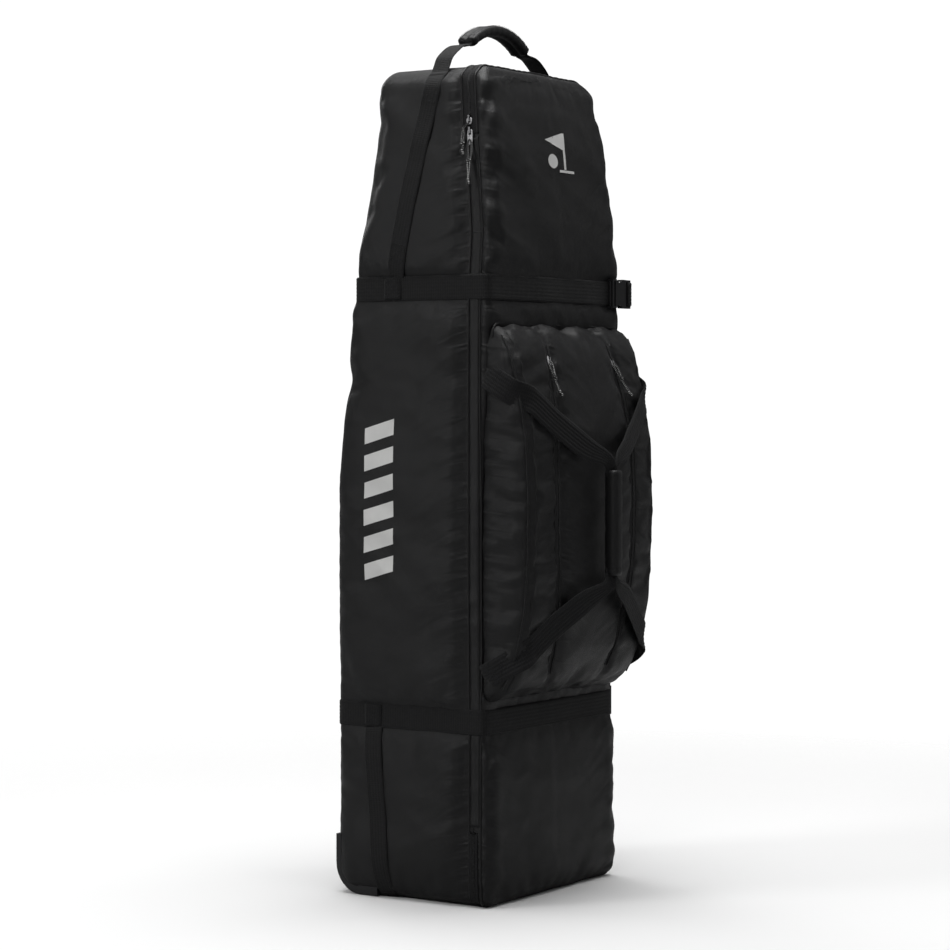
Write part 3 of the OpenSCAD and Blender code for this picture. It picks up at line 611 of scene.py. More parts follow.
class Form:
    """A soft form whose rings each belong to a numbered part of it."""

    def __init__(self, rows, columns, *outline):
        self.loop, self.normals = outline_loop(*outline, rows, columns)
        self.rows, self.columns = rows, columns
        self.rings, self.parts = [], []

    def add(self, points, part):
        self.rings.append(points)
        self.parts.append(part)

    def radius(self, side, top, bottom):
        """How round the edges are, all the way round."""
        up, down = np.clip(self.normals[:, 1], 0, 1) ** 2, np.clip(-self.normals[:, 1], 0, 1) ** 2
        return side * (1 - up - down) + top * up + bottom * down

    def round_edge(self, radius, edge, sign, steps, part):
        """Rings, in order of y, between the side and the face at y = edge(z), whose outward way is sign."""
        for step in range(1, steps + 1) if sign > 0 else range(steps, 0, -1):
            angle = step / steps * math.pi / 2
            flat = self.loop - self.normals * (radius * (1 - math.cos(angle)))[:, None]
            y = edge(flat[:, 1]) - sign * radius * (1 - math.sin(angle))
            self.add(np.stack([flat[:, 0], y, flat[:, 1]], axis=1), part)

    def run_back(self, start, end, steps, part):
        """Rings after start as far as end, both y all the way round."""
        for s in steps:
            self.add(np.stack([self.loop[:, 0], start + (end - start) * s, self.loop[:, 1]], axis=1), part)

    def build(self, face_low, face_high=None):
        """Vertices, faces and each face's part. face_low and face_high give an end face's y at an x and z."""
        count = len(self.loop)
        verts = list(np.vstack(self.rings))
        faces, owners = [], []
        for i in range(len(self.rings) - 1):
            for j in range(count):
                k = (j + 1) % count
                faces.append([i * count + j, i * count + k, (i + 1) * count + k, (i + 1) * count + j])
                owners.append(self.parts[i + 1])
        for ring, shape in ((0, face_low), (len(self.rings) - 1, face_high)):
            if shape is None:
                continue
            flat = fill_grid(self.rings[ring][:, [0, 2]], self.rows, self.columns)
            inner = np.stack([flat[..., 0], shape(flat[..., 0], flat[..., 1]), flat[..., 1]], axis=-1)
            index = grid_index(self.rows, self.columns, ring * count, len(verts))
            verts += list(inner[1:-1, 1:-1].reshape(-1, 3))
            corners = [index[:-1, :-1], index[:-1, 1:], index[1:, 1:], index[1:, :-1]]
            if ring:
                corners = [corners[k] for k in (0, 3, 2, 1)]
            new = np.stack(corners, axis=-1).reshape(-1, 4).tolist()
            faces += new
            owners += [self.parts[ring]] * len(new)
        return np.array(verts), faces, owners

# ---- Cloth


def inflate(obj, pins, pressure, slack, cap_mm, bending):
    """Swells a soft form with the cloth solver, holding its pinned vertices, and keeps the moved mesh.
    slack is how much too large the cloth is, which wrinkles it. cap_mm is the furthest that a point goes."""
    frames = 20
    before = points_mm(obj)
    group = obj.vertex_groups.new(name="pins")
    rounded = np.round(pins, 2)
    for weight in np.unique(rounded):
        group.add(np.nonzero(rounded == weight)[0].tolist(), float(weight), "REPLACE")
    cloth = modifier(obj, "CLOTH")
    settings = cloth.settings
    settings.quality = 5
    settings.mass = 0.25
    settings.tension_stiffness = settings.compression_stiffness = 18
    settings.shear_stiffness = 6
    settings.bending_stiffness = bending
    settings.air_damping = 2.0
    settings.use_pressure = True
    settings.uniform_pressure_force = pressure
    settings.shrink_min = -slack
    settings.effector_weights.gravity = 0
    settings.vertex_group_mass = "pins"
    cloth.collision_settings.use_collision = False
    cloth.point_cache.frame_end = frames + 1
    scene = bpy.context.scene
    for number in range(1, frames + 1):
        scene.frame_set(number)
    moved = points_mm(obj.evaluated_get(bpy.context.evaluated_depsgraph_get())) - before
    length = np.linalg.norm(moved, axis=1, keepdims=True) + 1e-6
    cap = np.asarray(cap_mm, float).reshape(-1, 1)
    obj.modifiers.clear()
    obj.vertex_groups.clear()
    place_mm(obj, before + moved * cap * np.tanh(length / cap) / length)
    scene.frame_set(1)


def crumple(points, weights, pitch, depth, seed, stretch=(1, 1, 1)):
    """Soft folds as a height: ridged noise of one pitch, times weights."""
    out = np.zeros(len(points))
    shift = Vector((seed * 7.3, seed * 3.1, seed * 5.7))
    for i, p in enumerate(points):
        if weights[i] > 0.01:
            q = Vector((p[0] * stretch[0], p[1] * stretch[1], p[2] * stretch[2])) / pitch + shift
            out[i] = (1 - 2 * abs(noise.noise(q))) * depth * weights[i]
    return out


def push(obj, amounts):
    """Moves vertices along their normals, in millimetres."""
    normals = np.empty(len(obj.data.vertices) * 3)
    obj.data.vertex_normals.foreach_get("vector", normals)
    place_mm(obj, points_mm(obj) + normals.reshape(-1, 3) * np.asarray(amounts)[:, None])


def pucker(obj, away, along, free, pitch, reach, lean, depth, seed):
    """Folds that run off a seam, where the cloth is free to fold."""
    lines = np.stack([along + lean * away, away / 4.5, np.zeros(len(away))], axis=1)
    push(obj, crumple(lines, free * np.exp(-away / reach), pitch, depth, seed))


def turned(p, a, b, cos, sin):
    """Points turned in the plane of axes a and b, which slants their folds."""
    out = p.copy()
    out[:, a], out[:, b] = cos * p[:, a] + sin * p[:, b], cos * p[:, b] - sin * p[:, a]
    return out


def strap_closeness(z, reach):
    """1 under a compression strap, falling to 0 a reach away."""
    gaps = [np.maximum(np.maximum(low - z, z - high), 0) for low, high in (UPPER_STRAP, LOWER_STRAP)]
    return np.exp(-np.minimum(*gaps) / reach)


# ---- The case: part 0 of its form is the door, part 1 the body


def body_form():
    form = Form(132, 40, half_width, 0, HEIGHT, BOTTOM_CORNER, TOP_CORNER)
    z = form.loop[:, 1]
    lid_radius, tub_radius = form.radius(8.0, 17.0, 14.0), form.radius(14.0, 15.0, 44.0)
    seam = part_y(z)
    form.round_edge(lid_radius, front_y, -1, 4, 0)
    form.run_back(front_y(z) + lid_radius, seam, np.linspace(0, 1, 4), 0)
    form.run_back(seam, back_y(z) - tub_radius, np.linspace(0, 1, 26)[1:], 1)
    form.round_edge(tub_radius, back_y, 1, 5, 1)
    return form.build(lambda x, z: front_y(z) - 3.0 * (1 - (x / half_width(z)) ** 2),
                      lambda x, z: back_y(z) + 2.0 * (1 - (x / half_width(z)) ** 2))


def flatten_seam(obj):
    """Holds the sides in close to the door's seam, so that the door can fold back on the side."""
    p = points_mm(obj)
    gap = np.abs(p[:, 1] - part_y(p[:, 2]))
    room = half_width(p[:, 2]) + 0.05 * gap + 0.28 * np.maximum(gap - 14, 0) + 0.9 * np.maximum(gap - 20, 0)
    held = (gap < 40) & (np.abs(p[:, 0]) > room) & (p[:, 2] < HEIGHT - 16)
    p[held, 0] = (np.sign(p[:, 0]) * room)[held]
    p[:, 2] = np.maximum(p[:, 2], 0.3)
    place_mm(obj, p)


def make_body():
    p, faces, owners = body_form()
    obj = make_mesh("body_form", p, faces, [FABRIC])
    x, y, z = np.abs(p[:, 0]), p[:, 1], p[:, 2]
    edge = half_width(z) - x
    seam_gap = np.abs(y - part_y(z))
    sides, door, tub = edge < 30, y < HINGE_Y - 6, y > HINGE_Y
    under_pocket = door & (z > POCKET_LOW[2] + 4) & (z < POCKET_HIGH[2] - 4)
    back_edge = smoothstep(20, 6, Y_BACK - y) * smoothstep(24, 8, edge)
    pins = np.maximum.reduce([np.clip(1.15 - seam_gap / 12.0, 0, 1) * sides, smoothstep(14, 4, z),
                              smoothstep(0.6, 0.95, strap_closeness(z, 10.0)), under_pocket * 1.0,
                              0.7 * back_edge, 0.75 * smoothstep(HEIGHT - 30, HEIGHT - 4, z)])
    inflate(obj, pins, 2.2, 0.02, 5.0 + 3.0 * tub, 0.6)
    away = 1 - np.clip(pins, 0, 1)
    near_seam = np.exp(-np.maximum(seam_gap - 12, 0) / 26.0) * sides
    front = door * np.maximum(smoothstep(POCKET_HIGH[2] - 10, POCKET_HIGH[2] + 30, z),
                              smoothstep(POCKET_LOW[2], POCKET_LOW[2] - 30, z))
    near_edge = front * np.exp(-np.maximum(edge, 0) / 46.0)
    amounts = sum(crumple(*fold) for fold in (
        (p, away * near_seam, 30.0, 2.4, 1, (1, 0.22, 1)),
        (p, away * strap_closeness(z, 34.0) * tub, 36.0, 1.8, 2, (1, 1, 0.3)),
        (p, near_edge, 24.0, 2.6, 6, (0.2, 1, 1)),
        (turned(p, 1, 2, 0.82, 0.57), away * tub, 78.0, 2.8, 7, (1, 0.28, 1)),
        (turned(p, 0, 2, 0.86, -0.5), front, 64.0, 2.6, 8, (0.3, 1, 1)),
        (p, away, 190.0, 3.0, 3, (1, 0.6, 1.1)),
        (p, away * 0.8, 60.0, 0.9, 4, (0.8, 0.5, 1.2)),
        (p, away * smoothstep(880, 1100, z) * tub, 90.0, 2.6, 5, (1, 0.9, 0.4))))
    push(obj, amounts * np.where(p[:, 0] > 0, 0.7, 1.0))
    flatten_seam(obj)
    return obj, faces, owners


def carve(points, faces, name, materials):
    """A panel of its own from some faces of a form."""
    used = sorted({i for f in faces for i in f})
    renumber = {old: new for new, old in enumerate(used)}
    return make_mesh(name, points[used], [[renumber[i] for i in f] for f in faces], materials)


def inside_guard(points):
    """How far each point lies outside the wheel housing's inner line, negative where there is no housing."""
    depth, rise = Y_BACK - 45, 50
    y, z = points[:, 1], points[:, 2]
    under = np.where(y <= depth, 14 - z, np.hypot(y - depth, z - rise) - 36)
    out = np.where(z >= rise, y - (Y_BACK - 9), under)
    covered = (np.abs(points[:, 0]) > GUARD_LOW[0] + 3) & (z < GUARD_HIGH[2] - 3) & (y > GUARD_LOW[1] + 3)
    return np.where(covered, out, -50.0)


body_obj, body_faces, body_owners = make_body()
body_points = points_mm(body_obj)
BODY_TREE = surface(body_obj)
bpy.data.objects.remove(body_obj)

clear = inside_guard(body_points)
tucked = clear > 3.0
for i in np.nonzero(tucked)[0]:
    y, z = body_points[i, 1:]
    body_points[i, 1:] -= unit([y - min(y, Y_BACK - 45), z - max(z, 50)]) * (clear[i] - 3.0)
behind_plate = (body_points[:, 1] > 100) & (np.abs(body_points[:, 0]) < PLATE_HIGH[0] + 8)
behind_plate &= (body_points[:, 2] > PLATE_LOW[2] - 8) & (body_points[:, 2] < PLATE_HIGH[2] + 8)
body_points[behind_plate, 1] = np.minimum(body_points[behind_plate, 1], PLATE_LOW[1] - 0.8)

lid_faces, tub_faces = [], []
for face, part in zip(body_faces, body_owners):
    if part == 0:
        lid_faces.append(face)
    elif not all(tucked[i] for i in face):
        tub_faces.append(face)
in_hood = (body_points[:, 2] > 953) & (body_points[:, 1] > part_y(body_points[:, 2]) + 16)
hood_faces = [face for face in tub_faces if all(in_hood[i] for i in face)]


def subdivide(obj):
    modifier(obj, "SUBSURF", levels=1, render_levels=1)
    return obj


def panel(name, faces, body, *nodes):
    """A padded and lined panel of the case, with folds that run off the door's seam."""
    skin = bake(subdivide(carve(body_points, faces, name, [SEWN_FABRIC, LINING])))
    x, y, z = points_mm(skin).T
    from_edge = np.maximum(half_width(z) - 12 - np.abs(x), 0)
    away = np.maximum(np.abs(y - part_y(z)) - 12, 0) + from_edge * (y < HINGE_Y)
    along = z + 400 * (x > 0)
    free = smoothstep(0, 9, away) * (1 - smoothstep(0.3, 0.8, strap_closeness(z, 12.0)))
    free *= smoothstep(4, 40, z) * smoothstep(HEIGHT - 4, HEIGHT - 30, z)
    pucker(skin, away, along, free, 27.0, 46.0, 0.45, 2.3, 31)
    pucker(skin, away, along, free, 15.0, 22.0, 0.25, 0.9, 32)
    modifier(skin, "SOLIDIFY", thickness=3.2 * MM, offset=-1, material_offset=1, material_offset_rim=0)
    lay_uvs(skin, np.stack([away, along], axis=1))
    bake(skin)
    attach(skin, body)
    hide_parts(*nodes)


panel("door_skin", lid_faces, "lid", "lid_panel")
panel("body_skin", tub_faces, "shell", "left_side_panel", "right_side_panel", "back_panel", "top_panel",
      "bottom_panel")

# The hood's foam, as a padded layer inside the top
hood = carve(body_points, hood_faces, "hood_padding", [FOAM])
push(hood, np.full(len(hood.data.vertices), -5.2))
modifier(hood, "SOLIDIFY", thickness=7.5 * MM, offset=-1)
bake(subdivide(hood))
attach(hood, "shell")
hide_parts("hood_foam")

# ---- Front pocket

POCKET_SPAN = (POCKET_LOW[2] - 4, POCKET_HIGH[2] + 2)
POCKET_OUTLINE = (lambda z: POCKET_HALF, *POCKET_SPAN, POCKET_CORNER, POCKET_CORNER)
BOW_Z, ZIP_X, ZIP_RIDE, ZIP_LEAN = 600.0, 107.0, 643.7, math.sin(math.radians(29.83))


def pocket_zip_x(z):
    return ZIP_X - (ZIP_RIDE - np.sqrt(ZIP_RIDE ** 2 - (z - BOW_Z) ** 2)) * ZIP_LEAN


def make_pocket():
    form = Form(74, 46, *POCKET_OUTLINE)
    radius = form.radius(11.0, 11.0, 11.0)
    form.round_edge(radius, pocket_y, -1, 4, 0)
    form.run_back(pocket_y(form.loop[:, 1]) + radius, FRONT_Y + 3.0, np.linspace(0, 1, 8), 0)
    p, faces, _ = form.build(lambda x, z: pocket_y(z) - 5.0 * (1 - (x / POCKET_HALF) ** 2))
    obj = make_mesh("pocket_skin", p, faces, [SEWN_FABRIC])
    x, y, z = np.abs(p[:, 0]), p[:, 1], p[:, 2]
    deep = y - pocket_y(z)
    zip_gap = np.abs(x - pocket_zip_x(z))
    edge_gap = np.hypot(POCKET_HALF - 4 - x, np.maximum(deep - 4, 0))
    pins = np.maximum.reduce([smoothstep(FRONT_Y - 10, FRONT_Y, y), 0.8 * bell(zip_gap, 9.0) * (deep < 12),
                              0.75 * bell(edge_gap, 8.0)])
    inflate(obj, pins, 2.0, 0.035, 7.0, 0.5)
    away = 1 - np.clip(pins, 0, 1)
    gusset = x > POCKET_HALF - 12
    slant = turned(p, 0, 2, 0.8, 0.6)
    push(obj, sum(crumple(*fold) for fold in (
        (p, away * gusset, 34.0, 3.4, 11, (1, 0.35, 1)),
        (p, away * gusset, 15.0, 1.0, 17, (1, 0.4, 1)),
        (p, away * np.exp(-zip_gap / 34.0) * (deep < 12), 30.0, 1.9, 12, (0.25, 1, 1)),
        (p, away * np.exp(-edge_gap / 24.0), 26.0, 1.8, 13, (0.3, 0.5, 1)),
        (slant, away * smoothstep(720, 850, z), 60.0, 3.4, 14, (0.35, 1, 1)),
        (slant, away * smoothstep(440, 330, z), 44.0, 3.4, 15, (0.4, 1, 1)),
        (slant, away, 120.0, 3.0, 16, (0.6, 1, 1)))))
    bake(subdivide(obj))
    x, y, z = points_mm(obj).T
    gusset = np.abs(x) > POCKET_HALF - 10
    zip_gap = np.abs(np.abs(x) - pocket_zip_x(np.clip(z, 300, 880)))
    away = np.where(gusset, 8 + 0.35 * (FRONT_Y - y), zip_gap)
    along = z + 300 * (x > 0)
    free = np.where(gusset, smoothstep(0, 24, FRONT_Y - y), smoothstep(5, 15, zip_gap))
    low, high = POCKET_SPAN
    free *= smoothstep(low + 4, low + 30, z) * smoothstep(high - 4, high - 30, z)
    pucker(obj, away, along, free, 29.0, 44.0, 0.7, 2.4, 33)
    pucker(obj, away, along, free, 15.0, 26.0, -0.4, 0.9, 34)
    lay_uvs(obj, np.stack([away, along], axis=1))
    return obj


pocket_skin = make_pocket()
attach(pocket_skin, "lid")
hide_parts("front_pocket")
POCKET_TREE = surface(pocket_skin)

# ---- Straps round the body


def bend(objects):
    """Bakes each piece's transform into its mesh."""
    for obj in objects:
        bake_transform(obj)


def sewn_straps(name, strips, body, *nodes, width=STRAP_W, thick=WEB_T, ribs=7, more=()):
    """Webbing along (path, normals) strips, and the stitches along its edges with any more, as two pieces."""
    webs, threads = [], []
    for path, normals in strips:
        webs.append(webbing(path, normals, width, thick, ribs))
        threads += strap_edges(path, normals, width, thick)
    return (piece(name, webs, WEB, body, "webbing", *nodes),
            piece(name.removesuffix("_sewn") + "_thread", [*threads, *more], THREAD, body, "webbing"))


def hoop(z, start, end, lift=1.0, step=5.0):
    """A level path round the body at height z, from one plan point to another and counter-clockwise seen from
    above, with its outward normals. It bridges small dents, as a tight strap does."""
    count = 720
    angles = 2 * math.pi * np.arange(count) / count
    ways = np.stack([np.cos(angles), np.sin(angles), np.zeros(count)], axis=1)
    radii = np.array([np.hypot(*drape(BODY_TREE, (0, 0, z), way, 0.0, 400.0)[:2]) for way in ways])
    wide = np.concatenate([radii[-12:], radii, radii[:12]])
    bridged = ease(np.maximum(wide, ease(wide, 4)), 2)[12:-12] + lift
    ring = ways * bridged[:, None] + (0, 0, z)
    first, last = (round(math.atan2(p[1], p[0]) / (2 * math.pi) * count) % count for p in (start, end))
    if last <= first:
        last += count
    path = ring[np.arange(first, last + 1) % count]
    path = resample(path, max(4, int(run_lengths(path)[-1] / step)))
    return path, level_normals(path)


def on_side(side, y, z, lift=0.0):
    """The body's left (-1) or right (1) surface at a depth and height."""
    return drape(BODY_TREE, (side * 100, y, z), (side, 0, 0), lift, 200.0)


# Each strap's height, its patch's depth, its end in front, the start of its round part, and its loose end
UPPER_TAIL = [(194.5, -158.4), (201, -158.6), (206.4, -156.4), (208.3, -150.5), (204, -140), (195, -124),
              (189.4, -115)]
LOWER_TAIL = [(196.2, -77), (196.6, -70), (195.6, -63), (190.8, -49), (187.2, -37)]
STRAPS = (("upper", UPPER_Z, 25.0, (149, -142), (HALF_W, -114), UPPER_TAIL),
          ("lower", LOWER_Z, 62.0, (HALF_W, -129), (HALF_W, -36), LOWER_TAIL))
patches, threads = [], []
for word, z, patch_y, front_end, round_start, plan in STRAPS:
    strap = word + "_strap"
    sewn_straps(strap + "_round", [hoop(z, round_start, (-HALF_W, patch_y))], "shell", strap + "_body")
    front = sewn_straps(strap + "_front", [hoop(z, (-HALF_W, patch_y), front_end)], None, strap + "_front")
    bend(front)
    path = spline([(x, y, z) for x, y in plan], 3.0)
    sewn_straps(word + "_tail", [(path, level_normals(path))], word + "_plug", strap + "_tail")
    for side in (-1, 1):
        centre = on_side(side, patch_y, z, WEB_T + 1.2)
        forward = np.array([0.0, 1.0, 0.0])
        up = unit(on_side(side, patch_y, z + 16) - on_side(side, patch_y, z - 16))
        normal = unit(np.cross((0, side, 0), up))
        t = np.linspace(-1, 1, 9)
        path = centre + np.outer(15.5 * t, forward) - np.outer(t ** 6, normal)
        patches.append(webbing(path, normal, 32, 1.5, 6))
        threads += box_stitch(centre + normal * 1.5, forward, up, normal, 23, 25)
piece("strap_patches_sewn", patches, WEB_RIBBED, "shell", "webbing", "strap_patches")
piece("strap_patches_thread", threads, THREAD, "shell", "webbing")

tie_low, tie_high = box_mm("inner_tie_straps")
ties = []
for z in (tie_low[2] + 12.5, tie_high[2] - 12.5):
    for side in (-1, 1):
        x = np.linspace(150, 15, 28)
        sag = 0.5 * np.sin(x * 0.09 + z) + 0.3 * np.sin(x * 0.21)
        path = np.stack([side * x, tie_high[1] - 0.2 - np.abs(sag), z + sag], axis=1)
        ties.append((path, np.array([0.0, -1.0, 0.0])))
sewn_straps("inner_ties_sewn", ties, "shell", "inner_tie_straps", width=25, thick=1.8, ribs=5)

# The webbing that runs up each side, over the top corner
FOOT_X = 139.3
HEAD_Z = HEIGHT - TOP_CORNER
HEAD_X = float(half_width(HEAD_Z)) - TOP_CORNER


def handle_web(side):
    """A path up one side and round the top corner to the handle's foot, and its normals."""
    start = UPPER_STRAP[1] - 2
    points, normals = [], []
    for t in np.linspace(0, 1, 46):
        points.append(on_side(side, 20 + (PIVOT_Y - 20) * t, start + (HEAD_Z - start) * t, 0.6))
        normals.append((side, 0, 0.09))
    for angle in np.radians(np.linspace(8, 50, 6)):
        away = np.array([side * math.cos(angle), 0, math.sin(angle)])
        points.append(drape(BODY_TREE, (side * HEAD_X, PIVOT_Y, HEAD_Z), away, 0.6, 120.0))
        normals.append(away)
    return eased(np.array(points), 2, 0, 2), unit(normals)


webs = [handle_web(side) for side in (-1, 1)]
boxes = []
for path, normals in webs:
    for spot in (6, 44):
        up, out = tangents(path)[spot], normals[spot]
        boxes += box_stitch(path[spot] + out * WEB_T, np.cross(up, out), up, out, 24, 24)
sewn_straps("handle_webs_sewn", webs, "shell", "handle_webs", width=SIDE_WEB_W, ribs=6, more=boxes)

webs = []
for side in (-1, 1):
    path = [on_side(side, 38 + 23 * t, 5 + (LOWER_STRAP[0] - 4) * t, 0.6) for t in np.linspace(0, 1, 30)]
    webs.append((eased(np.array(path), 2, 0), np.array([side, 0.0, 0.0])))
sewn_straps("lower_side_webs_sewn", webs, "shell", "lower_side_webs", width=SIDE_WEB_W, ribs=6)

# ---- The door's seam: hinge strip, zip tapes, coil and welts

STRIP_FRONT, STRIP_BACK = -11.0, 6.5

def seam_run(offset, lift, span=None):
    """Points and normals beside the door's seam, offset towards the back and lifted off the cloth. span is a
    stretch of the left side by height, or None for the zip's run over the top, down and along the bottom."""
    loop, normals = outline_loop(half_width, 0, HEIGHT, BOTTOM_CORNER, TOP_CORNER, 300, 90)
    x, z = loop.T
    if span:
        keep = np.nonzero((x < 0) & (np.abs(normals[:, 0]) > 0.5) & (z >= span[0]) & (z <= span[1]))[0]
    else:
        first = np.nonzero((x < 0) & (normals[:, 0] < -0.5) & (z > STRIP_HIGH))[0][0]
        keep = np.arange(first, len(loop) + 1) % len(loop)
    outward = in_xz(normals[keep])
    points = []
    for (x, z), away in zip(loop[keep], outward):
        sunk = 2.4 * float(smoothstep(-0.4, -1.0, away[2]))
        within = np.array([x, float(part_y(z)) + offset, z]) - away * 20
        points.append(drape(BODY_TREE, within, away, lift - sunk, 60.0))
    return eased(np.array(points), 1, 0, 1, 2), outward


def seam_bend(objects, z):
    """Bakes the pieces' transforms. It works out the seam's lean and middle at height z, but does not use
    them.
    """
    lean = math.atan((float(part_y(z + 10)) - float(part_y(z - 10))) / 20)
    middle = np.array([-HALF_W, float(part_y(z)), z])
    bend(objects)


for word, span, z, nodes in (("low", (STRIP_LOW, 1000), 600, ["hinge_strip"]),
                             ("high", (994, STRIP_HIGH), 1070, [])):
    rows = [seam_run(offset, 1.5 - 0.9 * abs((offset + 2.2) / 8.8) ** 8, span)[0]
            for offset in np.linspace(STRIP_FRONT, STRIP_BACK, 9)]
    rows += [seam_run(offset, -1.2, span)[0] for offset in (STRIP_BACK, STRIP_FRONT)]
    strip = piece("hinge_strip_" + word, [loft(np.stack(rows, axis=1))], FABRIC, None, "body_fabric", *nodes)
    points = points_mm(strip)
    push(strip, crumple(points, np.ones(len(points)), 22.0, 0.55, 21, (1, 0.25, 1)))
    threads = [part for offset in (-8.8, 4.4) for part in stitches(*seam_run(offset, 1.3, span), 4.4, 3.0)]
    seam_bend([strip, piece(f"hinge_strip_{word}_thread", threads, THREAD, None, "webbing")], z)

for side, body, word in ((-1, "lid", "lid"), (1, "shell", "body")):
    tape = webbing(*seam_run(side * 6.2, 0.35), 9.4, 1.0)
    piece(f"zip_tape_{word}_sewn", [tape], TAPE, body, "zip_tape", "zip_tape_" + word)
    piece(f"zip_tape_{word}_thread", stitches(*seam_run(side * 8.8, 1.7), 4.0, 2.7), THREAD, body, "webbing")
    coil = tube(seam_run(side * 0.95, 1.5)[0], 1.25)
    piece("zip_coil_" + word, [coil], COIL, body, "zip_coil", "zip_teeth_" + word)
    piece("welt_" + word, [tube(seam_run(side * 12.4, 0.5)[0], 1.9, 10)], FABRIC, body, "body_fabric")
    path, _ = seam_run(-12.6 if side < 0 else 8.0, 0.3, (2, STRIP_HIGH + 6))
    piece("welt_hinge_" + word, [tube(path, 1.6, 10)], FABRIC, body, "body_fabric")

# The zip's foot runs along the hinge's axis
foot = (2, STRIP_LOW + 2)
tapes, coils, threads = [], [], []
for side in (-1, 1):
    tapes.append(webbing(*seam_run(side * 4.2, 0.6, foot), 6.0, 1.0))
    threads += stitches(*seam_run(side * 5.6, 1.5, foot), 4.0, 2.7)
    coils.append(tube(seam_run(side * 0.95, 1.4, foot)[0], 1.25))
seam_bend([piece("zip_foot_tapes", tapes, TAPE, None, "zip_tape"),
           piece("zip_foot_coils", coils, COIL, None, "zip_coil"),
           piece("zip_foot_thread", threads, THREAD, None, "webbing")], 60)

# Pocket zips, and the corded edges of the pocket
tapes, coils, edges, threads = [], [], [], []
for side in (-1, 1):
    path = []
    for z in np.linspace(POCKET_LOW[2] + 30, POCKET_HIGH[2] - 26, 80):
        path.append(drape(POCKET_TREE, (side * float(pocket_zip_x(z)), -150, z), (0, -1, 0), 0.4, 150.0))
    path = eased(np.array(path), 2, 1)
    normals = unit(np.cross(tangents(path), (1, 0, 0)))
    normals *= np.sign(-normals[:, 1:2])
    across = unit(np.cross(tangents(path), normals))
    tapes.append(webbing(path, normals, 17, 1.0))
    coils.append(tube(path + normals * 1.2, 1.5))
    for s in (-1, 1):
        edges.append(tube(path + across * s * 9.4 + normals * 0.4, 1.5))
        threads += stitches(path + across * s * 6.6 + normals * 1.1, normals, 4.0, 2.7)
piece("pocket_zip_tapes_sewn", tapes, TAPE, "lid", "zip_tape", "pocket_zip_tapes")
piece("pocket_zip_coils", coils, COIL, "lid", "zip_coil", "pocket_zip_teeth")
piece("pocket_zip_edges", edges, FABRIC, "lid", "body_fabric")
piece("pocket_zip_thread", threads, THREAD, "lid", "webbing")

edges = []
for side in (-1, 1):
    path = []
    for z in np.linspace(POCKET_SPAN[0] + 16, POCKET_SPAN[1] - 16, 90):
        start = (side * (POCKET_HALF - 20), float(pocket_y(z)) + 20, z)
        path.append(drape(POCKET_TREE, start, unit((side * 1.0, -0.8, 0.0)), 0.3, 80.0))
    edges.append(tube(eased(np.array(path), 2, 0, 1), 1.8, 10))
loop, normals = outline_loop(*POCKET_OUTLINE, 120, 70)
base = in_xz(loop)
base[:, 1] = front_y(loop[:, 1]) - 4.5
edges.append(tube(base + in_xz(normals) * 1.2, 2.1, 10, closed=True))
piece("pocket_edges", edges, FABRIC, "lid", "body_fabric")

# ---- Top handle

ARC_R, GRIP_ANGLE = 125.0, 37.0
ARC_Z = GRIP_TOP - 9.0 - ARC_R


def on_arc(angle, out=0.0, across=0.0):
    """A point of the handle's bow at an angle in degrees from its top."""
    a = math.radians(angle)
    return np.array([math.sin(a) * (ARC_R + out), PIVOT_Y + across, ARC_Z + math.cos(a) * (ARC_R + out)])


def squarish(angle, wide, high, wide_power, high_power):
    """The outline of a section with soft corners."""
    c, s = np.cos(angle), np.sin(angle)
    return wide * np.copysign(np.abs(c) ** wide_power, c), high * np.copysign(np.abs(s) ** high_power, s)


def grip_ring(angle, size):
    """The grip's section: two rolled edges, with a hollow between them on top."""
    t = np.linspace(0, 2 * math.pi, 40, endpoint=False)
    across, rise = squarish(t, 16.6, 8.6, 0.62, 0.75)
    rise -= np.copysign(3.4 * bell(across, 3.6), np.sin(t))
    return np.array([on_arc(angle, r * size, a * size) for r, a in zip(rise, across)])


rings = []
for angle in np.linspace(-GRIP_ANGLE, GRIP_ANGLE, 60):
    end = GRIP_ANGLE - abs(angle)
    waver = 0.012 * math.sin(angle * 0.9) + 0.01 * math.sin(angle * 2.3 + 1)
    size = 0.86 + 0.14 * min(1.0, end / 1.6) ** 0.5 + waver - 0.045 * bell(end - 6.0, 1.0)
    rings.append(grip_ring(angle, size))
piece("top_handle_pad", [loft(rings)], FABRIC, "top_handle", "webbing", "top_handle_grip")
threads = []
for across in (-12.3, -4.6, 4.6, 12.3):
    angles = np.linspace(-35, 35, 40)
    path = [on_arc(angle, 8.3 if abs(across) > 8 else 7.3, across) for angle in angles]
    threads += stitches(path, [on_arc(angle, 1) - on_arc(angle) for angle in angles], 4.0, 2.8)
for angle in (-32.4, 32.4):
    path = [on_arc(angle, 8.4 - 2.6 * bell(across, 3.6), across) for across in np.linspace(-13, 13, 12)]
    threads += stitches(path, on_arc(angle, 1) - on_arc(angle), 3.6, 2.5)
piece("top_handle_thread", threads, THREAD, "top_handle", "webbing")

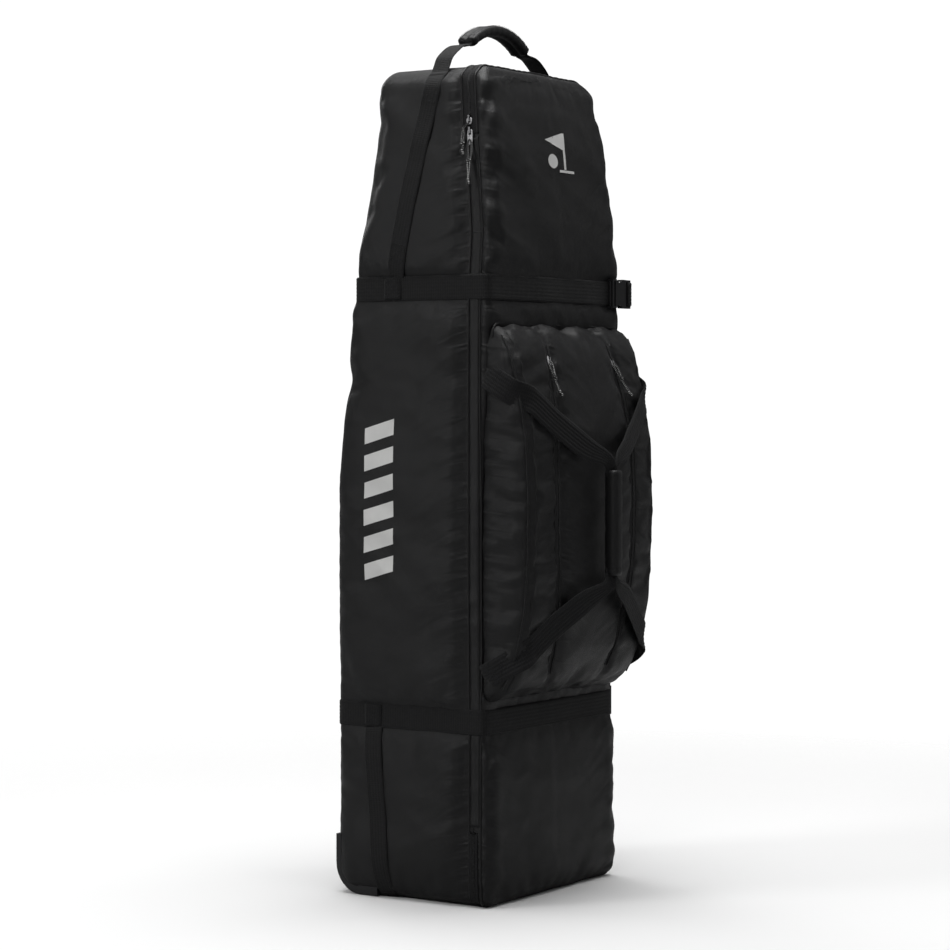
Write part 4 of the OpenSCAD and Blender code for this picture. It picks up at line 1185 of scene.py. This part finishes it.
for side, word, nodes in ((-1, "left", ["top_handle_web"]), (1, "right", [])):
    line = [*handle_web(side)[0][-3:], (side * (FOOT_X + 0.4), PIVOT_Y, 1254),
            (side * (FOOT_X - 6), PIVOT_Y, PIVOT_Z - 2), (side * (FOOT_X - 20), PIVOT_Y, PIVOT_Z + 9),
            (side * 101, PIVOT_Y, PIVOT_Z + 19), on_arc(side * 40, -1), on_arc(side * 35)]
    path = spline(line, 3.0)
    normals = unit(np.cross(tangents(path), (0, 1, 0))) * side
    normals = np.where((normals @ np.array([side, 0, 0.4]))[:, None] < 0, -normals, normals)
    width = 30.5 - 7.5 * smoothstep(0.55, 0.95, np.linspace(0, 1, len(path)))
    parts = [webbing(path, normals, width, 2.2, 6), webbing(path, -normals, width - 3, 1.2)]
    leg = piece("top_handle_leg_" + word, parts, WEB, None, "webbing", *nodes)
    foot = np.array([side * FOOT_X, PIVOT_Y, PIVOT_Z])
    bend([leg])

# ---- Haul handle

GRIP_Y, GRIP_Z = HAUL_LOW[1] + 13.0, (HAUL_LOW[2] + HAUL_HIGH[2]) / 2 + 0.5
GRIP_HALF = 79.0

nodes = ["haul_anchors", "haul_handle"]
for side, hand in ((-1, "_left"), (1, "_right")):
    for up, word, corner in ((-1, "lower", HAUL_LOW[2] + 21), (1, "upper", HAUL_HIGH[2] - 21)):
        beside = [drape(POCKET_TREE, (side * 100, y, corner + up * rise), (side, 0, 0), 1.2, 150.0)
                  for y, rise in ((FRONT_Y - 7, 23), (-160, 13), (-176, 4), (-190, -5))]
        start = (side * (POCKET_HALF - 14), -150, corner - up * 17)
        before = drape(POCKET_TREE, start, (0, -1, 0), 3.0, 150.0)
        path = spline([*beside, before, (side * 118, before[1] - 14, corner - up * 50),
                       (side * 60, -238, corner - up * 86),
                       (side * 14, GRIP_Y + 1, GRIP_Z + up * (GRIP_HALF + 16)),
                       (side * 3.5, GRIP_Y, GRIP_Z + up * (GRIP_HALF - 8))], 5.0)
        t = run_lengths(path) / run_lengths(path)[-1]
        first, last = np.array([side, -0.12, 0.0]), np.array([side * 0.12, -1.0, 0.0])
        turn, twist = smoothstep(0.20, 0.34, t)[:, None], smoothstep(0.72, 1.0, t)[:, None]
        normals = unit(first * (1 - turn) + last * turn + np.array([side * 0.5, 0, up * 0.25]) * twist)
        width = 38.5 - 19 * smoothstep(0.66, 0.97, t) + 0.8 * np.sin(t * 9 + side + up)
        web = webbing(path, normals, width, 2.1, 7, 0.95)
        run = piece("haul_webbing_" + word + hand, [web], WEB_RIBBED, None, "webbing", *nodes)
        sewn = box_stitch(path[4] + normals[4] * 2.1, (0, 1, 0), (0, 0, 1), normals[4], 24, 28)
        thread = piece("haul_thread_" + word + hand, sewn, THREAD, None, "webbing")
        bend([run, thread])
        nodes = []


def wrap_ring(z, size):
    """The haul grip's section, with the overlap of its wrap along one edge."""
    t = np.linspace(0, 2 * math.pi, 44, endpoint=False)
    x, y = squarish(t, 12.8 * size, 11.8 * size, 0.8, 0.85)
    lap = 1.3 * bell(t - 5.6, 0.12)
    return np.stack([x + np.cos(t) * lap, GRIP_Y + y + np.sin(t) * lap, np.full(len(t), z)], axis=1)


rings, threads = [], []
for z in np.linspace(GRIP_Z - GRIP_HALF, GRIP_Z + GRIP_HALF, 64):
    end = GRIP_HALF - abs(z - GRIP_Z)
    size = 0.84 + 0.16 * min(1.0, end / 5.0) ** 0.5 - 0.05 * bell(end - 13, 1.4)
    rings.append(wrap_ring(z, size + 0.015 * math.sin(z * 0.11) + 0.012 * math.sin(z * 0.23 + 2)))
piece("haul_wrap", [loft(rings)], FABRIC, "haul_grip", "webbing")
for angle in (4.35, 5.15):
    x, y = squarish(angle, 12.9, 11.9, 0.8, 0.85)
    path = [(x, GRIP_Y + y, z) for z in np.linspace(GRIP_Z - GRIP_HALF + 5, GRIP_Z + GRIP_HALF - 5, 60)]
    threads += stitches(path, (math.cos(angle), math.sin(angle), 0), 4.0, 2.8)
piece("haul_wrap_thread", threads, THREAD, "haul_grip", "webbing")

# ---- Sliders' pulls, in each slider's own frame: out of the cloth, and down along the zip


def pull_parts(origin, out, down, across, loop, tail, tab, shift, seed):
    """A tab on the slider, and a doubled cord with a knot and two ends: metal parts and cord parts."""

    def place(o, a, d):
        lean = 0.4 + 0.06 * max(d, 0) + 0.11 * max(d - 14, 0)
        return origin + out * (o + lean) + across * a + down * d

    top = 22.0 if tab else 9.0
    plate = [(-3.2, -0.6), (3.2, -0.6), (4.4, 1.0), (4.4, top - 4), (2.8, top), (-2.8, top), (-4.4, top - 4),
             (-4.4, 1.0)]
    hole = [(-2.4, 1.0), (2.4, 1.0), (2.4, 7.0), (-2.4, 7.0)]
    plate, hole = (resample(shape + shape[:1], 33)[:-1] for shape in (plate, hole))
    levels = ((plate, -0.8), (plate, 0.8), (hole, 0.8), (hole, -0.8), (plate, -0.8))
    metal_parts = [loft([np.array([place(o, a, d) for a, d in shape]) for shape, o in levels], caps=False)]
    for d in (9.5, 11.5, 13.5) if tab else ():
        metal_parts.append(tube([place(0.8, a, d) for a in np.linspace(-3.2, 3.2, 5)], 0.5, 6))

    half, start = (3.0, 13.0) if shift else (3.7, 15.0)
    lead, knot, knot_at = [], [], 12.0 + loop
    for t in 2 * math.pi * np.arange(60) / 60:
        sway = math.sin(2 * t + seed)
        lead.append(place(0.5 + 0.8 * sway, shift + half * math.sin(t) * (1 + 0.12 * sway),
                          start + (loop - 1) * 0.5 * (1 - math.cos(t))))
    for t in 2 * math.pi * np.arange(72) / 72:
        r = 2.1 + 0.9 * math.cos(3 * t)
        d = knot_at + 1.15 * r * math.sin(2 * t)
        knot.append(place(1.1 * math.sin(3 * t), shift + r * math.cos(2 * t), d))
    cord_parts = [tube(lead, 1.6, closed=True), tube(knot, 1.6, closed=True)]
    if shift:
        line = [place(0.4, 0.4 * np.sign(shift), 8.0), place(1.6, shift * 0.35, 9.0),
                place(1.2, shift * 0.8, 12.5), place(0.6, shift, 15.5)]
        cord_parts.append(tube(spline(line, 1.5), 1.3))
    for s, reach in ((-1, tail), (1, tail - 4)):
        line = [place(0, shift + s * 0.6, knot_at + 1)]
        for t in np.linspace(0.2, 1, 6):
            swing = s * (1.2 + 0.9 * math.sin(t * 4 + seed))
            line.append(place(0.3 * s + 0.5 * math.sin(t * 5 + seed), shift + swing, knot_at + reach * t))
        cord_parts.append(tube(spline(line, 1.6), 1.5))
        ball = [line[-1] + down * d for d in (-3.0, -2.4, -1.2, 0.4, 1.8, 2.6, 3.0)]
        cord_parts.append(tube(ball, [1.3, 2.2, 2.6, 2.7, 2.4, 1.7, 1.2], 10))
    return metal_parts, cord_parts


# Each pull's node and body, the lengths of its loop and tail, if it has a tab, and how far aside its cord is
PULLS = (("zip_pull_a", "main_pull_a", 34, 36, True, 0.0), ("zip_pull_b", "main_pull_b", 24, 17, False, 11.0),
         ("pocket_pull_left", "pocket_pull_l", 30, 30, True, 0.0),
         ("pocket_pull_right", "pocket_pull_r", 30, 30, True, 0.0))
TILT = math.radians(5.42)
MAIN_DOWN = np.array([-math.sin(TILT), math.sin(math.radians(-7.19 * math.cos(TILT))), -math.cos(TILT)])
for number, (node, body, loop, tail, tab, shift) in enumerate(PULLS):
    joint = JOINTS[body + "_swing"]
    origin, across = np.array(joint["pos_m"]) / MM, unit(joint["axis"])
    way, face = (MAIN_DOWN, 0) if "zip" in node else (sum(box_mm(node)) / 2 - origin, 1)
    down = unit(way - across * way.dot(across))
    out = unit(np.cross(across, down))
    out = out if out[face] < 0 else -out
    shift *= math.copysign(1.0, across[1])
    metal_parts, cord_parts = pull_parts(origin, out, down, across, loop, tail, tab, shift, number + 1)
    piece(node + "_tab", metal_parts, PULL_TAB, body, "pull_cord")
    piece(node + "_cord", cord_parts, CORD, body, "pull_cord", node)

# ---- Printed marks: slanted bars on the side, and a ball beside a flag on the door


def print_patch(name, shapes, project, body, step=3.0):
    """Flat shapes laid on a surface. Each is an outline of (u, v), which project takes to the surface."""
    parts = []
    for outline in shapes:
        mesh = bmesh.new()
        mesh.faces.new([mesh.verts.new((u, v, 0)) for u, v in outline])
        for axis, normal in enumerate(((1, 0, 0), (0, 1, 0))):
            for cut in np.arange(np.min(outline, 0)[axis] + step, np.max(outline, 0)[axis], step):
                bmesh.ops.bisect_plane(mesh, geom=mesh.verts[:] + mesh.edges[:] + mesh.faces[:],
                                       plane_co=Vector(normal) * cut, plane_no=normal)
        mesh.verts.index_update()
        flat = np.array([v.co[:2] for v in mesh.verts])
        faces = [[v.index for v in f.verts] for f in mesh.faces]
        mesh.free()
        parts.append(([project(u, v) for u, v in flat], faces, flat))
    piece(name, parts, PRINT, body, "body_fabric")


bars = [[(0, v + 15), (54, v), (54, v + 24), (0, v + 39)] for v in np.arange(6) * 41.0]
print_patch("side_print", bars, lambda u, v: on_side(-1, 17 + u, 478 + v, 0.35), "shell")
turns = np.linspace(0, 2 * math.pi, 28, endpoint=False)
disc = [(11 * math.cos(t) - 16, 11 * math.sin(t) - 17) for t in turns]
icon = [[(8, -28), (12.5, -28), (12.5, 28), (8, 28)], [(8, 28), (8, 2), (-30, 15)], disc,
        [(-2, -33), (30, -33), (30, -29), (-2, -29)]]
print_patch("door_print", icon,
            lambda u, v: drape(BODY_TREE, (16 + u * 1.3, -60, 1131 + v), (0, -1, 0), 0.35, 120.0), "lid")

# ---- Camera, floor and light


def in_scene(name, data, place):
    obj = bpy.data.objects.new(name, data)
    bpy.context.scene.collection.objects.link(obj)
    obj.location = place
    return obj


def lamp(name, place, height, size, power):
    """A round light that looks at the middle of the case at a height."""
    data = bpy.data.lights.new(name, "AREA")
    data.shape, data.size, data.energy = "DISK", size, power
    obj = in_scene(name, data, place)
    obj.rotation_euler = (Vector((0, 0, height)) - Vector(place)).to_track_quat("-Z", "Y").to_euler()
    return obj


def white_world():
    """White to the camera, and a dim white light on the case."""
    world = bpy.data.worlds.new("studio")
    world.use_nodes = True
    tree = world.node_tree
    background = tree.nodes["Background"]
    background.inputs[0].default_value = (1, 1, 1, 1)
    level = tree.nodes.new("ShaderNodeMapRange")
    level.inputs[3].default_value, level.inputs[4].default_value = 0.1, 1.05
    tree.links.new(tree.nodes.new("ShaderNodeLightPath").outputs["Is Camera Ray"], level.inputs[0])
    tree.links.new(level.outputs[0], background.inputs[1])
    return world


lens = bpy.data.cameras.new("camera")
lens.lens, lens.sensor_width = 104.2, 36
lens.shift_x, lens.shift_y = -0.0053, -0.0789
camera = in_scene("camera", lens, (-3.540, -2.396, 0.750))
camera.rotation_euler = (math.radians(90), 0, math.radians(-56))
scene = bpy.context.scene
scene.camera = camera
scene.world = white_world()
scene.view_settings.view_transform = "Standard"

FLOOR = 9000
floor = make_mesh("floor", [(-FLOOR, -FLOOR, 0), (FLOOR, -FLOOR, 0), (FLOOR, FLOOR, 0), (-FLOOR, FLOOR, 0)],
                  [[0, 1, 2, 3]], [floor_paint()])
LAMPS = (("over", (0.2, 0.0, 4.4), 0, 3.4, 190), ("key", (-4.0, 2.7, 2.9), 0.85, 1.5, 62),
         ("left", (-3.8, -1.6, 3.2), 0.8, 1.6, 26), ("front", (-1.2, -4.6, 2.6), 0.7, 1.8, 8),
         ("right", (3.6, -2.4, 3.2), 0.9, 1.4, 9), ("back", (2.2, 3.8, 2.8), 0.7, 2.0, 30))
lights = [lamp(*settings) for settings in LAMPS]
